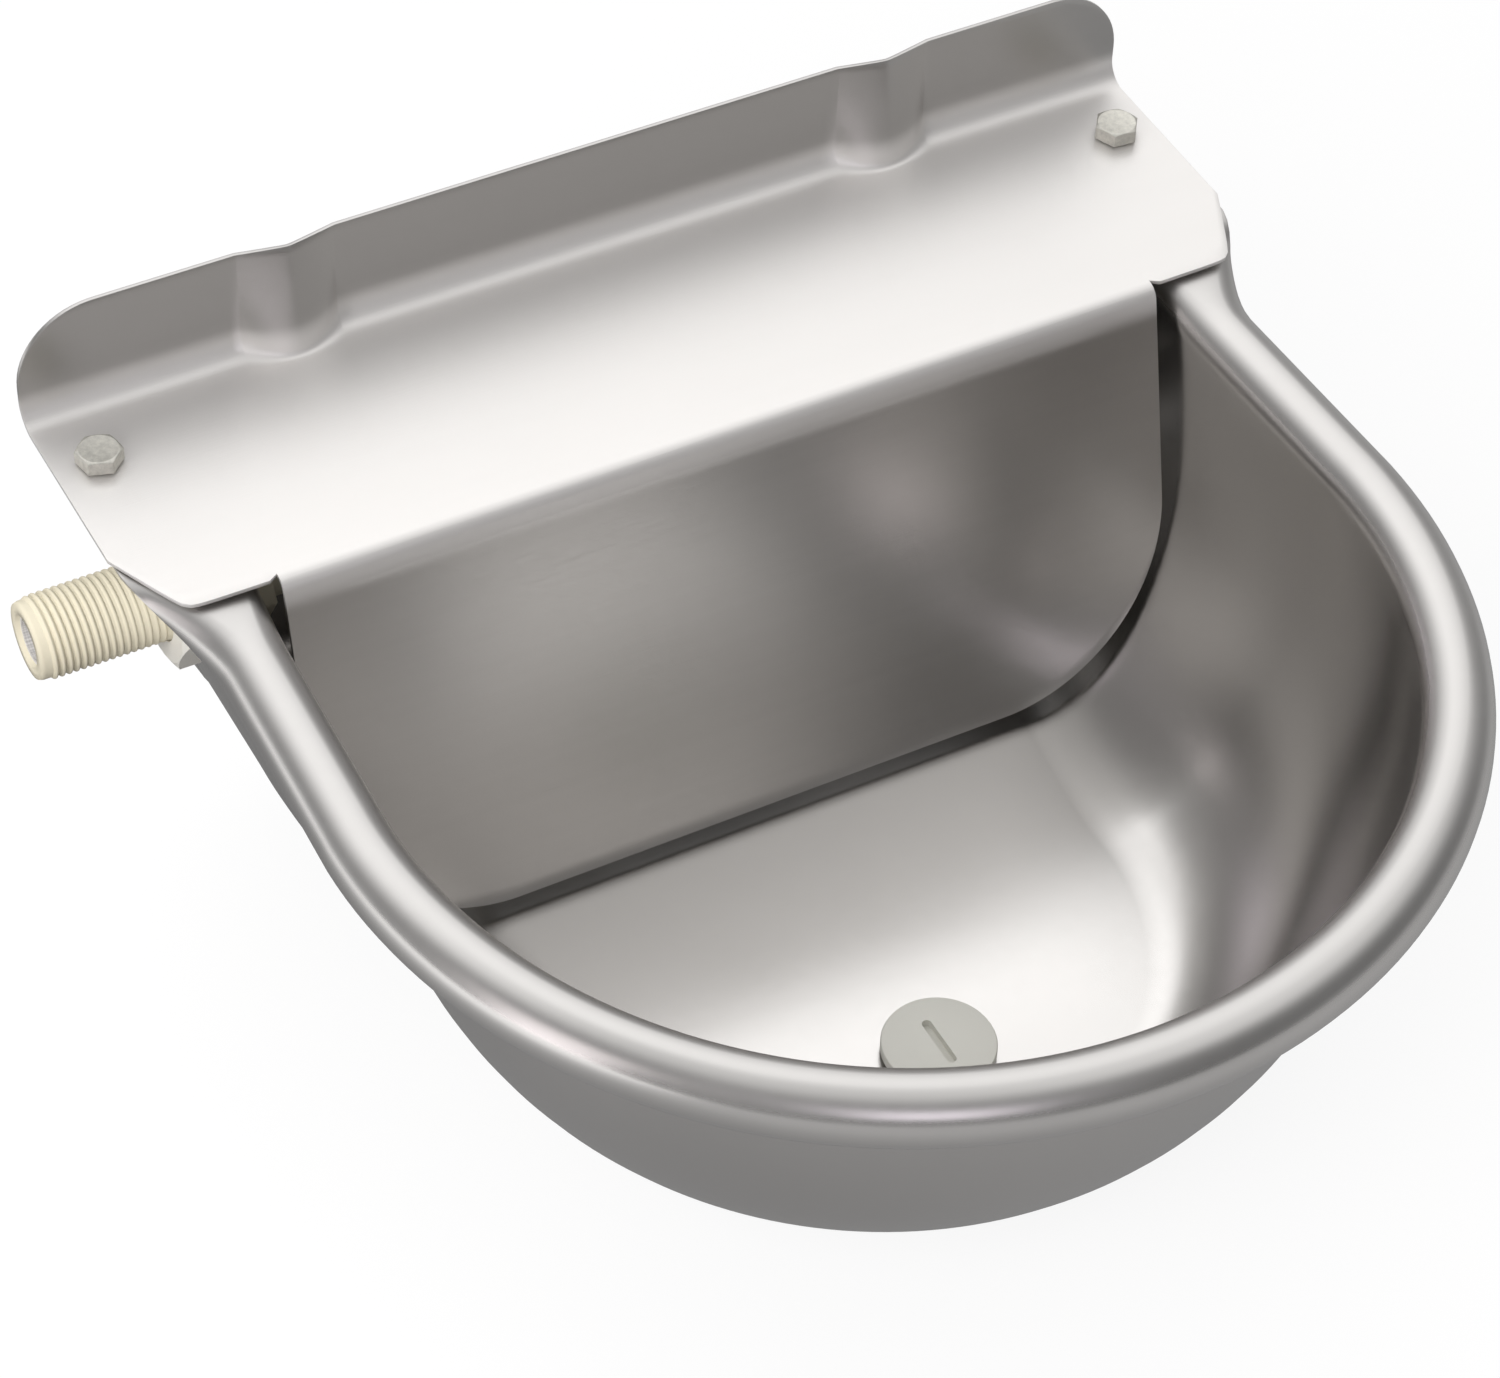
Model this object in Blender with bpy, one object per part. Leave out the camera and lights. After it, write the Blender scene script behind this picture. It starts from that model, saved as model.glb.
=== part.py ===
"""Livestock drinking bowl: pressed stainless bowl, splash cover, float valve and drain plug.

Metres, +Z up. The wall is the plane y = 0 and the bowl stands out from it towards -Y.
The origin is the middle of the wall face, level with the top of the splash cover.
"""
import math

import bmesh
import bpy
from mathutils import Matrix, Vector

# Sheet metal, running gaps and the overrun of every cutter
SHEET = 0.0010
GAP = 0.0003
OVERRUN = 0.0020

# Bowl: inner face of the wall at rim level, seen from above
ARC_CENTRE = 0.1500
BACK_HALF_WIDTH = 0.1185
FRONT_FLARE = 0.0031
PARALLEL_LENGTH = 0.0600
BACK_LEDGE = 0.0090
BACK_CORNER = 0.0100

# Bowl: wall sections, depths taken from the top of the cover
BOWL_DEPTH = 0.1090
SWEEP_RUN = 0.0528
UPRIGHT_DEPTH = 0.0580
UPRIGHT_RUN = 0.0440
BACK_FILLET = 0.0240

# Bowl: rolled rim, flat ears and the upstand behind the cover
BEAD_RADIUS = 0.0084
BEAD_DROP = 0.0030
BEAD_LIP_ANGLE = math.radians(-20)
EAR_WIDTH = 0.0285
EAR_LENGTH = 0.0570
EAR_BLEND = 0.0350
EAR_ROOT_RADIUS = 0.0035
EAR_EDGE_RUN = 0.0060
LEDGE_DROP = 0.0060
LEDGE_RISE_START = 0.0950
LEDGE_RISE_LENGTH = 0.0250
BOWL_BEND = 0.0050
BOWL_UPSTAND_STEP = 0.0060

# Splash cover
COVER_OVERLAP = 0.0010
UPSTAND_HEIGHT = 0.0300
UPSTAND_CORNER = 0.0200
COVER_BEND = 0.0060
PLATE_LENGTH = 0.0745
FOLD_RADIUS = 0.0040
APRON_LEAN = math.radians(14)
APRON_SIDE_GAP = 0.0030
APRON_DEPTH = 0.1030
APRON_CORNER = 0.0520
WING_LENGTH = 0.0760
WING_CHAMFER_WIDTH = 0.0100
WING_CHAMFER_LENGTH = 0.0220
WING_TIP_BLEND = 0.0030

# Channels pressed forward over the wall screws
CHANNEL_SPACING = 0.1600
CHANNEL_WIDTH = 0.0255
CHANNEL_DEPTH = 0.0065
CHANNEL_TOP_SHARE = 0.35
CHANNEL_FOOT = 0.0018
FOOT_DIP = 0.0010
FOOT_DIP_LENGTH = 0.0150
WALL_SLOT_WIDTH = 0.0084
WALL_SLOT_LENGTH = 0.0130
WALL_SLOT_HEIGHT = 0.0150

# Cover fasteners, M6
BOLT_PLACE_SHARE = 0.65
BOLT_BACK = 0.0230
BOLT_RADIUS = 0.0030
BOLT_FLATS = 0.0100
BOLT_HEAD = 0.0040
BOLT_LENGTH = 0.0120
WASHER_RADIUS = 0.0062
WASHER_THICK = 0.0012
NUT_HEIGHT = 0.0050

# Water inlet through the left wall, half-inch pipe thread
INLET_BACK = 0.0363
INLET_DEPTH = 0.0350
INLET_REACH = 0.1635
THREAD_RADIUS = 0.0104
STEM_BORE = 0.0065
FLANGE_RADIUS = 0.0160
FLANGE_THICK = 0.0040
WASHER_SOFT = 0.0020
LOCK_NUT_FLATS = 0.0320
LOCK_NUT_THICK = 0.0090
STRAINER_LENGTH = 0.0140
STRAINER_WALL = 0.0008
STRAINER_SET_BACK = 0.0010

# Valve barrel, nozzle and piston, all on the inlet's axis
COLLAR_FLATS = 0.0240
COLLAR_THICK = 0.0060
BARREL_RADIUS = 0.0085
BARREL_LENGTH = 0.0340
CHAMBER_RADIUS = 0.0055
BULKHEAD = 0.0070
NOZZLE_RADIUS = 0.0036
NOZZLE_BORE = 0.0016
NOZZLE_FLANGE = 0.0052
NOZZLE_FLANGE_THICK = 0.0015
NOZZLE_TIP_RADIUS = 0.0026
NOZZLE_TIP = 0.0024
SEAL_RADIUS = 0.0040
SEAL_THICK = 0.0025
SEAL_PROUD = 0.0005
PISTON_TAIL = 0.0030
OUTLET_WIDTH = 0.0060
OUTLET_LENGTH = 0.0050

# Float arm: the pivot hangs below the barrel
PIVOT_DROP = 0.0120
PIVOT_FROM_END = 0.0080
PIN_RADIUS = 0.0015
PIN_HEAD_RADIUS = 0.0026
PIN_HEAD_THICK = 0.0010
CLIP_RADIUS = 0.0030
CLIP_THICK = 0.0007
CHEEK_THICK = 0.0032
CHEEK_HALF_LENGTH = 0.0050
CHEEK_BELOW_PIN = 0.0045
ARM_THICK = 0.0050
ARM_DEPTH = 0.0040
HUB_RADIUS = 0.0040
NOSE_RADIUS = 0.0019
NOSE_WRAP = math.radians(143)
NECK_SPREAD = math.radians(30)
NOSE_SLOT_FLARE = 0.0012
FLOAT_DROOP = math.radians(22)
PAD_RADIUS = 0.0065
PAD_THICK = 0.0034

# Float, in the level position that closes the valve
FLOAT_LENGTH = 0.0600
FLOAT_WIDTH = 0.0440
FLOAT_HEIGHT = 0.0340
FLOAT_CORNER = 0.0080
FLOAT_FROM_PIVOT = 0.0900
FLOAT_ABOVE_PIVOT = 0.0030
FLOAT_BACK = 0.0400
FLOAT_FLOOR_GAP = 0.0060
FLOAT_SCREW_RADIUS = 0.0015
FLOAT_SCREW_LENGTH = 0.0120
FLOAT_SCREW_HEAD = 0.0032
FLOAT_SCREW_HEAD_HEIGHT = 0.0022
FLOAT_WASHER_RADIUS = 0.0042
FLOAT_WASHER_THICK = 0.0008

# Drain plug, placed from the line where the round front meets the floor
DRAIN_FROM_CURVE = 0.0316
PLUG_HEAD_RADIUS = 0.0139
PLUG_HEAD_THICK = 0.0026
PLUG_SLOT_LENGTH = 0.0115
PLUG_SLOT_WIDTH = 0.0020
PLUG_SLOT_DEPTH = 0.0012
PLUG_SHANK_RADIUS = 0.0080
DRAIN_SEAL_RADIUS = 0.0120
DRAIN_SEAL_THICK = 0.0008
DRAIN_NUT_FLATS = 0.0240
DRAIN_NUT_HEIGHT = 0.0080
DRAIN_WASHER_RADIUS = 0.0130
DRAIN_WASHER_THICK = 0.0015
SHANK_BELOW_NUT = 0.0020

# Facets: shares of each run where the outline needs its points
BACK_SHARES = (0.0, 0.5, 0.85, 1.0)
SIDE_SHARES = (0.0, 0.12, 0.28, 0.36, 0.44, 0.52, 0.62, 0.78)
ARC_STEPS = 10
CORNER_EDGE_SHARES = (0.18, 0.38, 0.58, 0.76, 0.90, 0.985, 1.0)
BEND_END_SHARES = (0.8, 0.45, 0.0)
WALL_STEPS = 7
UPRIGHT_SHARE = 2 / 7
RIM_STEP = math.radians(15)
ROOT_POINTS = 5
EDGE_POINTS = 7
BEND_POINTS = 3
CHANNEL_SHARES = (-1.0, -0.88, -0.62, -0.36, -0.14, 0.0, 0.14, 0.36, 0.62, 0.88, 1.0)
CHANNEL_RIDGE_POWER = 1.25
CHANNEL_FOOT_POWER = 1.9
PLATE_SHARES = (0.0, 0.08, 0.25, 0.6, 1.0)
UPSTAND_SHARES = (0.0, 0.35, 0.7, 1.0)
APRON_SHARES = (0.0, 0.3, 0.6, 0.85, 1.0)
COLUMN_SHARES = (0.0, 0.4, 0.8)
WING_SHARES = (0.2, 0.42, 0.62, 0.7, 0.78, 0.88, 1.0)
TURN_STEPS = 32
SMALL_TURN_STEPS = 20

# Places worked out from the sizes
FRONT_RADIUS = BACK_HALF_WIDTH + FRONT_FLARE
DRAIN_BACK = ARC_CENTRE + FRONT_RADIUS - SWEEP_RUN - DRAIN_FROM_CURVE
EAR_HALF_WIDTH = BACK_HALF_WIDTH + EAR_WIDTH
BOLT_SPACING = 2 * (BACK_HALF_WIDTH + EAR_WIDTH * BOLT_PLACE_SHARE)
COVER_HALF_WIDTH = EAR_HALF_WIDTH + COVER_OVERLAP
APRON_HALF_WIDTH = BACK_HALF_WIDTH - APRON_SIDE_GAP
WING_TIP_HALF_WIDTH = COVER_HALF_WIDTH - WING_CHAMFER_WIDTH
EAR_TOP = -(SHEET + GAP)
RIM_LEVEL = -(BEAD_DROP + BEAD_RADIUS)
BACK_FACE = -SHEET
BACK_WALL = BACK_FACE - BACK_LEDGE
COVER_FACE = -(2 * SHEET + GAP)
INLET_AXIS = Vector((0, -INLET_BACK, -INLET_DEPTH))
WALL_INSIDE = -BACK_HALF_WIDTH
WALL_OUTSIDE = WALL_INSIDE - SHEET
FLANGE_FACE = WALL_INSIDE + 2 * GAP + WASHER_SOFT
COLLAR_FACE = FLANGE_FACE + FLANGE_THICK
BARREL_FACE = COLLAR_FACE + COLLAR_THICK
BARREL_END = BARREL_FACE + BARREL_LENGTH
BULKHEAD_FACE = COLLAR_FACE
CHAMBER_FACE = BULKHEAD_FACE + BULKHEAD
NOZZLE_END = CHAMBER_FACE + NOZZLE_TIP
PIVOT = Vector((BARREL_END - PIVOT_FROM_END, -INLET_BACK, -INLET_DEPTH - PIVOT_DROP))
FLOAT_TIP_OUT = FLOAT_FROM_PIVOT + FLOAT_LENGTH / 2 - FLOAT_CORNER
FLOAT_TIP_DOWN = FLOAT_HEIGHT / 2 - FLOAT_ABOVE_PIVOT - FLOAT_CORNER
FLOAT_TIP_FALL = BOWL_DEPTH - FLOAT_FLOOR_GAP - FLOAT_CORNER + PIVOT.z
FLOOR_DROOP = (math.asin(FLOAT_TIP_FALL / math.hypot(FLOAT_TIP_OUT, FLOAT_TIP_DOWN))
               - math.atan2(FLOAT_TIP_DOWN, FLOAT_TIP_OUT))
FLOAT_TRAVEL = min(FLOAT_DROOP, FLOOR_DROOP)
NOSE_LEAN = FLOAT_TRAVEL / 2
PISTON_TRAVEL = FLOAT_TRAVEL * PIVOT_DROP
SEAL_FACE = NOZZLE_END + GAP + PISTON_TRAVEL
NOSE_PLACE = PIVOT.x + PIVOT_DROP * math.sin(NOSE_LEAN)
ARM_SLOT = ARM_THICK / 2 + GAP
FLOOR = -BOWL_DEPTH
FLOOR_UNDERSIDE = FLOOR - SHEET


def clear_scene():
    """Remove whatever the open file holds."""
    for item in list(bpy.data.objects):
        bpy.data.objects.remove(item, do_unlink=True)


def material(name, colour, metallic, roughness):
    """One Principled material."""
    made = bpy.data.materials.new(name)
    made.use_nodes = True
    shader = made.node_tree.nodes["Principled BSDF"]
    shader.inputs["Base Color"].default_value = (*colour, 1.0)
    shader.inputs["Metallic"].default_value = metallic
    shader.inputs["Roughness"].default_value = roughness
    made.diffuse_color = (*colour, 1.0)
    return made


def add_object(name, work, finish):
    """Turn a bmesh into a smooth-shaded object with one material."""
    mesh = bpy.data.meshes.new(name)
    work.to_mesh(mesh)
    work.free()
    mesh.materials.append(finish)
    mesh.shade_smooth()
    mesh.set_sharp_from_angle(angle=math.radians(35))
    item = bpy.data.objects.new(name, mesh)
    bpy.context.scene.collection.objects.link(item)
    return item


def hide_tool(tool):
    """Mark an object as a cutter, which is no piece of the bowl."""
    tool.hide_render = True
    tool.display_type = 'WIRE'
    return tool


def boolean(target, tool, operation):
    """Cut, fuse or intersect two closed meshes with the exact solver."""
    step = target.modifiers.new(tool.name, 'BOOLEAN')
    step.operation = operation
    step.solver = 'EXACT'
    step.object = hide_tool(tool)
    return target


def cut(target, tool):
    return boolean(target, tool, 'DIFFERENCE')


def fuse(target, tool):
    return boolean(target, tool, 'UNION')


def turned(name, profile, finish, steps=TURN_STEPS):
    """Turn a closed profile of (radius, height) points about +Z into a solid."""
    work = bmesh.new()
    points = [work.verts.new((radius, 0, height)) for radius, height in profile]
    on_axis = profile[0][0] == 0 and profile[-1][0] == 0
    edges = [work.edges.new(pair) for pair in zip(points, points[1:])]
    if not on_axis:
        edges.append(work.edges.new((points[-1], points[0])))
    bmesh.ops.spin(work, geom=points + edges, axis=(0, 0, 1), cent=(0, 0, 0),
                   angle=math.tau, steps=steps, use_merge=True)
    bmesh.ops.remove_doubles(work, verts=work.verts, dist=GAP / 30)
    bmesh.ops.recalc_face_normals(work, faces=work.faces)
    return add_object(name, work, finish)


def prism(name, flats, low, high, finish):
    """A hexagonal prism along +Z between two heights."""
    work = bmesh.new()
    corner = flats / math.sqrt(3)
    made = bmesh.ops.create_circle(work, cap_ends=True, segments=6, radius=corner)
    bmesh.ops.translate(work, verts=made["verts"], vec=(0, 0, low))
    lifted = bmesh.ops.extrude_face_region(work, geom=list(work.faces))
    rising = [item for item in lifted["geom"] if isinstance(item, bmesh.types.BMVert)]
    bmesh.ops.translate(work, verts=rising, vec=(0, 0, high - low))
    bmesh.ops.recalc_face_normals(work, faces=work.faces)
    return add_object(name, work, finish)


def block(name, low, high, finish):
    """A rectangular block between two corners."""
    work = bmesh.new()
    bmesh.ops.create_cube(work, size=1)
    size = Vector(high) - Vector(low)
    middle = (Vector(high) + Vector(low)) / 2
    bmesh.ops.scale(work, verts=work.verts, vec=size)
    bmesh.ops.translate(work, verts=work.verts, vec=middle)
    return add_object(name, work, finish)


def extruded(name, outline, half_thickness, finish):
    """Extrude an outline of (x, z) points to both sides of the plane y = 0."""
    work = bmesh.new()
    base = [work.verts.new((x, -half_thickness, z)) for x, z in outline]
    work.faces.new(base)
    lifted = bmesh.ops.extrude_face_region(work, geom=list(work.faces))
    moved = [item for item in lifted["geom"] if isinstance(item, bmesh.types.BMVert)]
    bmesh.ops.translate(work, verts=moved, vec=(0, 2 * half_thickness, 0))
    bmesh.ops.recalc_face_normals(work, faces=work.faces)
    return add_object(name, work, finish)


def moved(item, matrix):
    """Move a piece together with the cutters that shape it."""
    item.matrix_basis = matrix @ item.matrix_basis
    for step in item.modifiers:
        if step.type == 'BOOLEAN':
            moved(step.object, matrix)
    return item


def at(item, place):
    return moved(item, Matrix.Translation(place))


def along_x(item, place=(0, 0, 0)):
    """Lay a piece made along +Z onto +X at a place."""
    return moved(item, Matrix.Translation(place) @ Matrix.Rotation(math.radians(90), 4, 'Y'))


def along_y(item, place=(0, 0, 0)):
    """Lay a piece made along +Z onto +Y at a place."""
    return moved(item, Matrix.Translation(place) @ Matrix.Rotation(math.radians(-90), 4, 'X'))


def arc(centre, radius, start, stop, steps):
    """Points on a circle from one angle to another, both ends included."""
    turn = (stop - start) / steps
    angles = [start + turn * index for index in range(steps + 1)]
    return [(centre[0] + radius * math.cos(angle), centre[1] + radius * math.sin(angle))
            for angle in angles]


def smooth_step(value):
    value = min(max(value, 0.0), 1.0)
    return value * value * (3 - 2 * value)


def mix(low, high, share):
    return low + (high - low) * share


def ring(name, inner, outer, low, high, finish, steps=TURN_STEPS):
    """A flat ring, such as a washer."""
    profile = [(inner, low), (outer, low), (outer, high), (inner, high)]
    return turned(name, profile, finish, steps)


def chamfered_hexagon(name, flats, low, high, finish, both_ends=False):
    """A hexagon whose corners are turned off at 30 degrees, as a bolt head is."""
    corner = flats / math.sqrt(3)
    drop = (corner - flats / 2) * math.tan(math.radians(30)) * 2
    bottom = [(0, low), (flats / 2, low), (corner + drop, low + drop)]
    if not both_ends:
        bottom = [(0, low - OVERRUN), (corner + drop, low - OVERRUN)]
    top = [(corner + drop, high - drop), (flats / 2, high), (0, high)]
    head = prism(name, flats, low, high, finish)
    return boolean(head, turned(name + "_chamfer", bottom + top, finish), 'INTERSECT')


# Bowl shell, one skin that is thickened

def rim_half_width(back):
    """Half width of the inner wall at rim level, a distance in front of the wall plane."""
    share = (back - PARALLEL_LENGTH) / (ARC_CENTRE - PARALLEL_LENGTH)
    return mix(BACK_HALF_WIDTH, FRONT_RADIUS, min(max(share, 0.0), 1.0))


def swept_wall(share):
    """Inset and height of the rounded front wall, from rim to floor."""
    angle = share * math.pi / 2
    return SWEEP_RUN * (1 - math.cos(angle)), mix(RIM_LEVEL, FLOOR, math.sin(angle))


def upright_wall(share, run, straight):
    """Inset and height of a wall that stands straight, then turns into the floor."""
    if share <= UPRIGHT_SHARE:
        return 0.0, mix(RIM_LEVEL, -straight, share / UPRIGHT_SHARE)
    angle = (share - UPRIGHT_SHARE) / (1 - UPRIGHT_SHARE) * math.pi / 2
    return run * (1 - math.cos(angle)), mix(-straight, FLOOR, math.sin(angle))


def side_point(back_share, share):
    """A point of the side wall: how far along it, and how far down."""
    corner_back = BACK_CORNER - BACK_WALL
    back = mix(corner_back, ARC_CENTRE, back_share)
    sweep = smooth_step((back - PARALLEL_LENGTH) / (ARC_CENTRE - PARALLEL_LENGTH))
    upright = upright_wall(share, UPRIGHT_RUN, UPRIGHT_DEPTH)
    swept = swept_wall(share)
    inset = mix(upright[0], swept[0], sweep)
    height = mix(upright[1], swept[1], sweep)
    back_inset = upright_wall(share, BACK_FILLET, BOWL_DEPTH - BACK_FILLET)[0]
    low_back = mix(corner_back + back_inset, ARC_CENTRE, back_share)
    return Vector((rim_half_width(back) - inset, -low_back, height))


def corner_point(turn_share, share):
    """A point of the rounded back corner: 0 is the back wall's end, 1 the side wall's."""
    side_inset, side_height = upright_wall(share, UPRIGHT_RUN, UPRIGHT_DEPTH)
    back_inset, back_height = upright_wall(share, BACK_FILLET, BOWL_DEPTH - BACK_FILLET)
    angle = (1 - turn_share) * math.pi / 2
    centre_x = BACK_HALF_WIDTH - side_inset - BACK_CORNER
    centre_y = BACK_WALL - back_inset - BACK_CORNER
    return Vector((centre_x + BACK_CORNER * math.cos(angle),
                   centre_y + BACK_CORNER * math.sin(angle),
                   mix(back_height, side_height, turn_share)))


def back_point(width_share, share):
    """A point of the flat back wall."""
    end = corner_point(0.0, share)
    return Vector((end.x * width_share, end.y, end.z))


def arc_point(angle, share):
    """A point of the round front wall; the angle runs from the side to the front."""
    inset, height = swept_wall(share)
    radius = FRONT_RADIUS - inset
    return Vector((radius * math.cos(angle), -ARC_CENTRE - radius * math.sin(angle), height))


def upstand_top(x, half_width, height):
    """Height of an upstand whose top corners are rounded."""
    start = half_width - UPSTAND_CORNER
    over = min(max(abs(x) - start, 0.0), UPSTAND_CORNER)
    return height - UPSTAND_CORNER + math.sqrt(UPSTAND_CORNER ** 2 - over ** 2)


def rim_edge(back):
    """How far the rim reaches out from the wall, and how much of it is bead."""
    bead = smooth_step((back - EAR_LENGTH) / EAR_BLEND)
    ear = EAR_HALF_WIDTH - rim_half_width(back)
    return mix(ear, 2 * BEAD_RADIUS, bead), bead


def ear_lift(y):
    """Rise of the sheet where it bends up to the upstand."""
    over = min(max(y - BACK_FACE + BOWL_BEND, 0.0), BOWL_BEND)
    return BOWL_BEND - math.sqrt(BOWL_BEND ** 2 - over ** 2)


def ledge_top(x):
    """Level of the sheet behind the rim: a little lower between the ears."""
    return EAR_TOP - LEDGE_DROP * (1 - smooth_step((x - LEDGE_RISE_START) / LEDGE_RISE_LENGTH))


def rim_root(root, top):
    """The rounded turn from the wall into the rim, as (out, up) points."""
    angles = [math.pi - RIM_STEP * index for index in range(1, ROOT_POINTS + 1)]
    return [(root + root * math.cos(angle), top - root + root * math.sin(angle)) for angle in angles]


def rim_section(foot, heading, reach, bead):
    """The rim over one point of the wall: up, over and down to the lip."""
    root = mix(EAR_ROOT_RADIUS, BEAD_RADIUS, bead)
    profile = rim_root(root, mix(EAR_TOP, -BEAD_DROP, bead))
    centre = (reach - BEAD_RADIUS, -BEAD_DROP - BEAD_RADIUS)
    curl = arc(centre, BEAD_RADIUS, math.pi / 2 - RIM_STEP, BEAD_LIP_ANGLE, EDGE_POINTS - 1)
    for index, (out, up) in enumerate(curl):
        flat = reach - EAR_EDGE_RUN * (1 - index / (EDGE_POINTS - 1))
        profile.append((mix(flat, out, bead), mix(EAR_TOP, up, bead)))
    points = [Vector((foot.x + heading.x * out, foot.y + heading.y * out, up)) for out, up in profile]
    for point in points:
        point.z += ear_lift(point.y)
    return points


def upstand_section(foot, edge_x):
    """The sheet behind the cover over one point: up, back to the wall plane, and up again."""
    away = Vector((edge_x - foot.x, BACK_FACE - foot.y))
    heading = away.normalized()
    top = ledge_top(edge_x)
    profile = rim_root(EAR_ROOT_RADIUS, top)
    for index in range(BEND_POINTS + 1):
        y = BACK_FACE - BOWL_BEND * (1 - math.sin(math.pi / 2 * index / BEND_POINTS))
        profile.append(((y - foot.y) / heading.y, top + ear_lift(y)))
    tail = EDGE_POINTS - BEND_POINTS - 1
    height = upstand_top(edge_x, EAR_HALF_WIDTH, UPSTAND_HEIGHT - BOWL_UPSTAND_STEP)
    if edge_x >= EAR_HALF_WIDTH:
        height = top + BOWL_BEND + SHEET
    for index in range(1, tail + 1):
        profile.append((away.length, mix(top + BOWL_BEND, height, index / tail)))
    return [Vector((foot.x + heading.x * out, foot.y + heading.y * out, up)) for out, up in profile]


def bowl_stations():
    """Sections of the right half, from the middle of the back to the middle of the front."""
    stations = []
    shares = [index / WALL_STEPS for index in range(WALL_STEPS, -1, -1)]
    for width_share in BACK_SHARES:
        wall = [back_point(width_share, share) for share in shares]
        stations.append(wall + upstand_section(wall[-1], wall[-1].x))
    start = BACK_HALF_WIDTH - BACK_CORNER
    turns = len(CORNER_EDGE_SHARES) + len(BEND_END_SHARES)
    for step, edge_share in enumerate(CORNER_EDGE_SHARES, 1):
        wall = [corner_point(step / turns, share) for share in shares]
        stations.append(wall + upstand_section(wall[-1], mix(start, EAR_HALF_WIDTH, edge_share)))
    for step, bend_share in enumerate(BEND_END_SHARES, 1 + len(CORNER_EDGE_SHARES)):
        wall = [corner_point(step / turns, share) for share in shares]
        edge = Vector((EAR_HALF_WIDTH, BACK_FACE - BOWL_BEND * (1 - bend_share)))
        away = edge - wall[-1].xy
        stations.append(wall + rim_section(wall[-1], away.normalized(), away.length, 0.0))
    for back_share in SIDE_SHARES:
        wall = [side_point(back_share, share) for share in shares]
        reach, bead = rim_edge(-wall[-1].y)
        stations.append(wall + rim_section(wall[-1], Vector((1, 0)), reach, bead))
    for step in range(ARC_STEPS + 1):
        angle = step / ARC_STEPS * math.pi / 2
        wall = [arc_point(angle, share) for share in shares]
        outward = Vector((math.cos(angle), -math.sin(angle)))
        stations.append(wall + rim_section(wall[-1], outward, 2 * BEAD_RADIUS, 1.0))
    return stations


def thickened(item):
    """Give a skin its sheet thickness, away from the side that its faces show."""
    sheet = item.modifiers.new("sheet", 'SOLIDIFY')
    sheet.thickness = SHEET
    sheet.offset = -1
    return item


def face_up(work, face):
    """Turn all faces so that the named one looks up."""
    bmesh.ops.recalc_face_normals(work, faces=work.faces)
    if face.normal.z < 0:
        bmesh.ops.reverse_faces(work, faces=work.faces)


def make_bowl(finish):
    """The pressed bowl with its rolled rim, ears, upstand and holes."""
    half = bowl_stations()
    mirrored = [[Vector((-point.x, point.y, point.z)) for point in station]
                for station in reversed(half[1:-1])]
    stations = half + mirrored
    work = bmesh.new()
    grid = [[work.verts.new(point) for point in station] for station in stations]
    for here, there in zip(grid, grid[1:] + grid[:1]):
        for row in range(len(here) - 1):
            work.faces.new((here[row], there[row], there[row + 1], here[row + 1]))
    floor = work.faces.new([station[0] for station in grid])
    face_up(work, floor)
    bowl = thickened(add_object("bowl_shell", work, finish))
    through = SHEET + 2 * OVERRUN
    hole = ring_plug("inlet_hole", THREAD_RADIUS + GAP, through, finish)
    cut(bowl, along_x(hole, (WALL_OUTSIDE - OVERRUN, INLET_AXIS.y, INLET_AXIS.z)))
    hole = ring_plug("drain_hole", PLUG_SHANK_RADIUS + GAP, through, finish)
    cut(bowl, at(hole, (0, -DRAIN_BACK, FLOOR_UNDERSIDE - OVERRUN)))
    for side in (-1, 1):
        hole = ring_plug("ear_hole", BOLT_RADIUS + GAP, through, finish, SMALL_TURN_STEPS)
        place = (side * BOLT_SPACING / 2, -BOLT_BACK, EAR_TOP - SHEET - OVERRUN)
        cut(bowl, at(hole, place))
        cut(bowl, wall_slot(side, finish))
    return bowl


def ring_plug(name, radius, length, finish, steps=TURN_STEPS):
    """A plain cylinder from z = 0 upwards, used as a cutter."""
    return turned(name, [(0, 0), (radius, 0), (radius, length), (0, length)], finish, steps)


def wall_slot(side, finish):
    """The upright slot for one wall screw, behind its channel."""
    radius = WALL_SLOT_WIDTH / 2
    run = (WALL_SLOT_LENGTH - WALL_SLOT_WIDTH) / 2
    steps = SMALL_TURN_STEPS // 2
    outline = arc((0, run), radius, 0, math.pi, steps) + arc((0, -run), radius, math.pi, math.tau, steps)
    tool = extruded("wall_slot", outline, SHEET + OVERRUN, finish)
    return at(tool, (side * CHANNEL_SPACING / 2, BACK_FACE, WALL_SLOT_HEIGHT))


# Splash cover, one skin that is thickened

def channel_share(x, down_share):
    """Share of the channel's depth at x: a ridge at the upstand's top edge, a round U at its foot."""
    off = abs(abs(x) - CHANNEL_SPACING / 2) / (CHANNEL_WIDTH / 2)
    power = mix(CHANNEL_RIDGE_POWER, CHANNEL_FOOT_POWER, down_share)
    return 1 - min(off, 1.0) ** power


def wing_front(x):
    """How far the plate reaches forward beside the apron."""
    slope = WING_CHAMFER_LENGTH / WING_CHAMFER_WIDTH
    chamfer = WING_LENGTH - (abs(x) - WING_TIP_HALF_WIDTH) * slope
    gap = math.hypot(WING_LENGTH - chamfer, WING_TIP_BLEND)
    return (WING_LENGTH + chamfer - gap) / 2


def apron_bottom(x):
    """Depth of the apron's lower edge at x, with its large round corners."""
    over = max(abs(x) - (APRON_HALF_WIDTH - APRON_CORNER), 0.0)
    return APRON_DEPTH - APRON_CORNER + math.sqrt(max(APRON_CORNER ** 2 - over ** 2, 0.0))


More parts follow.
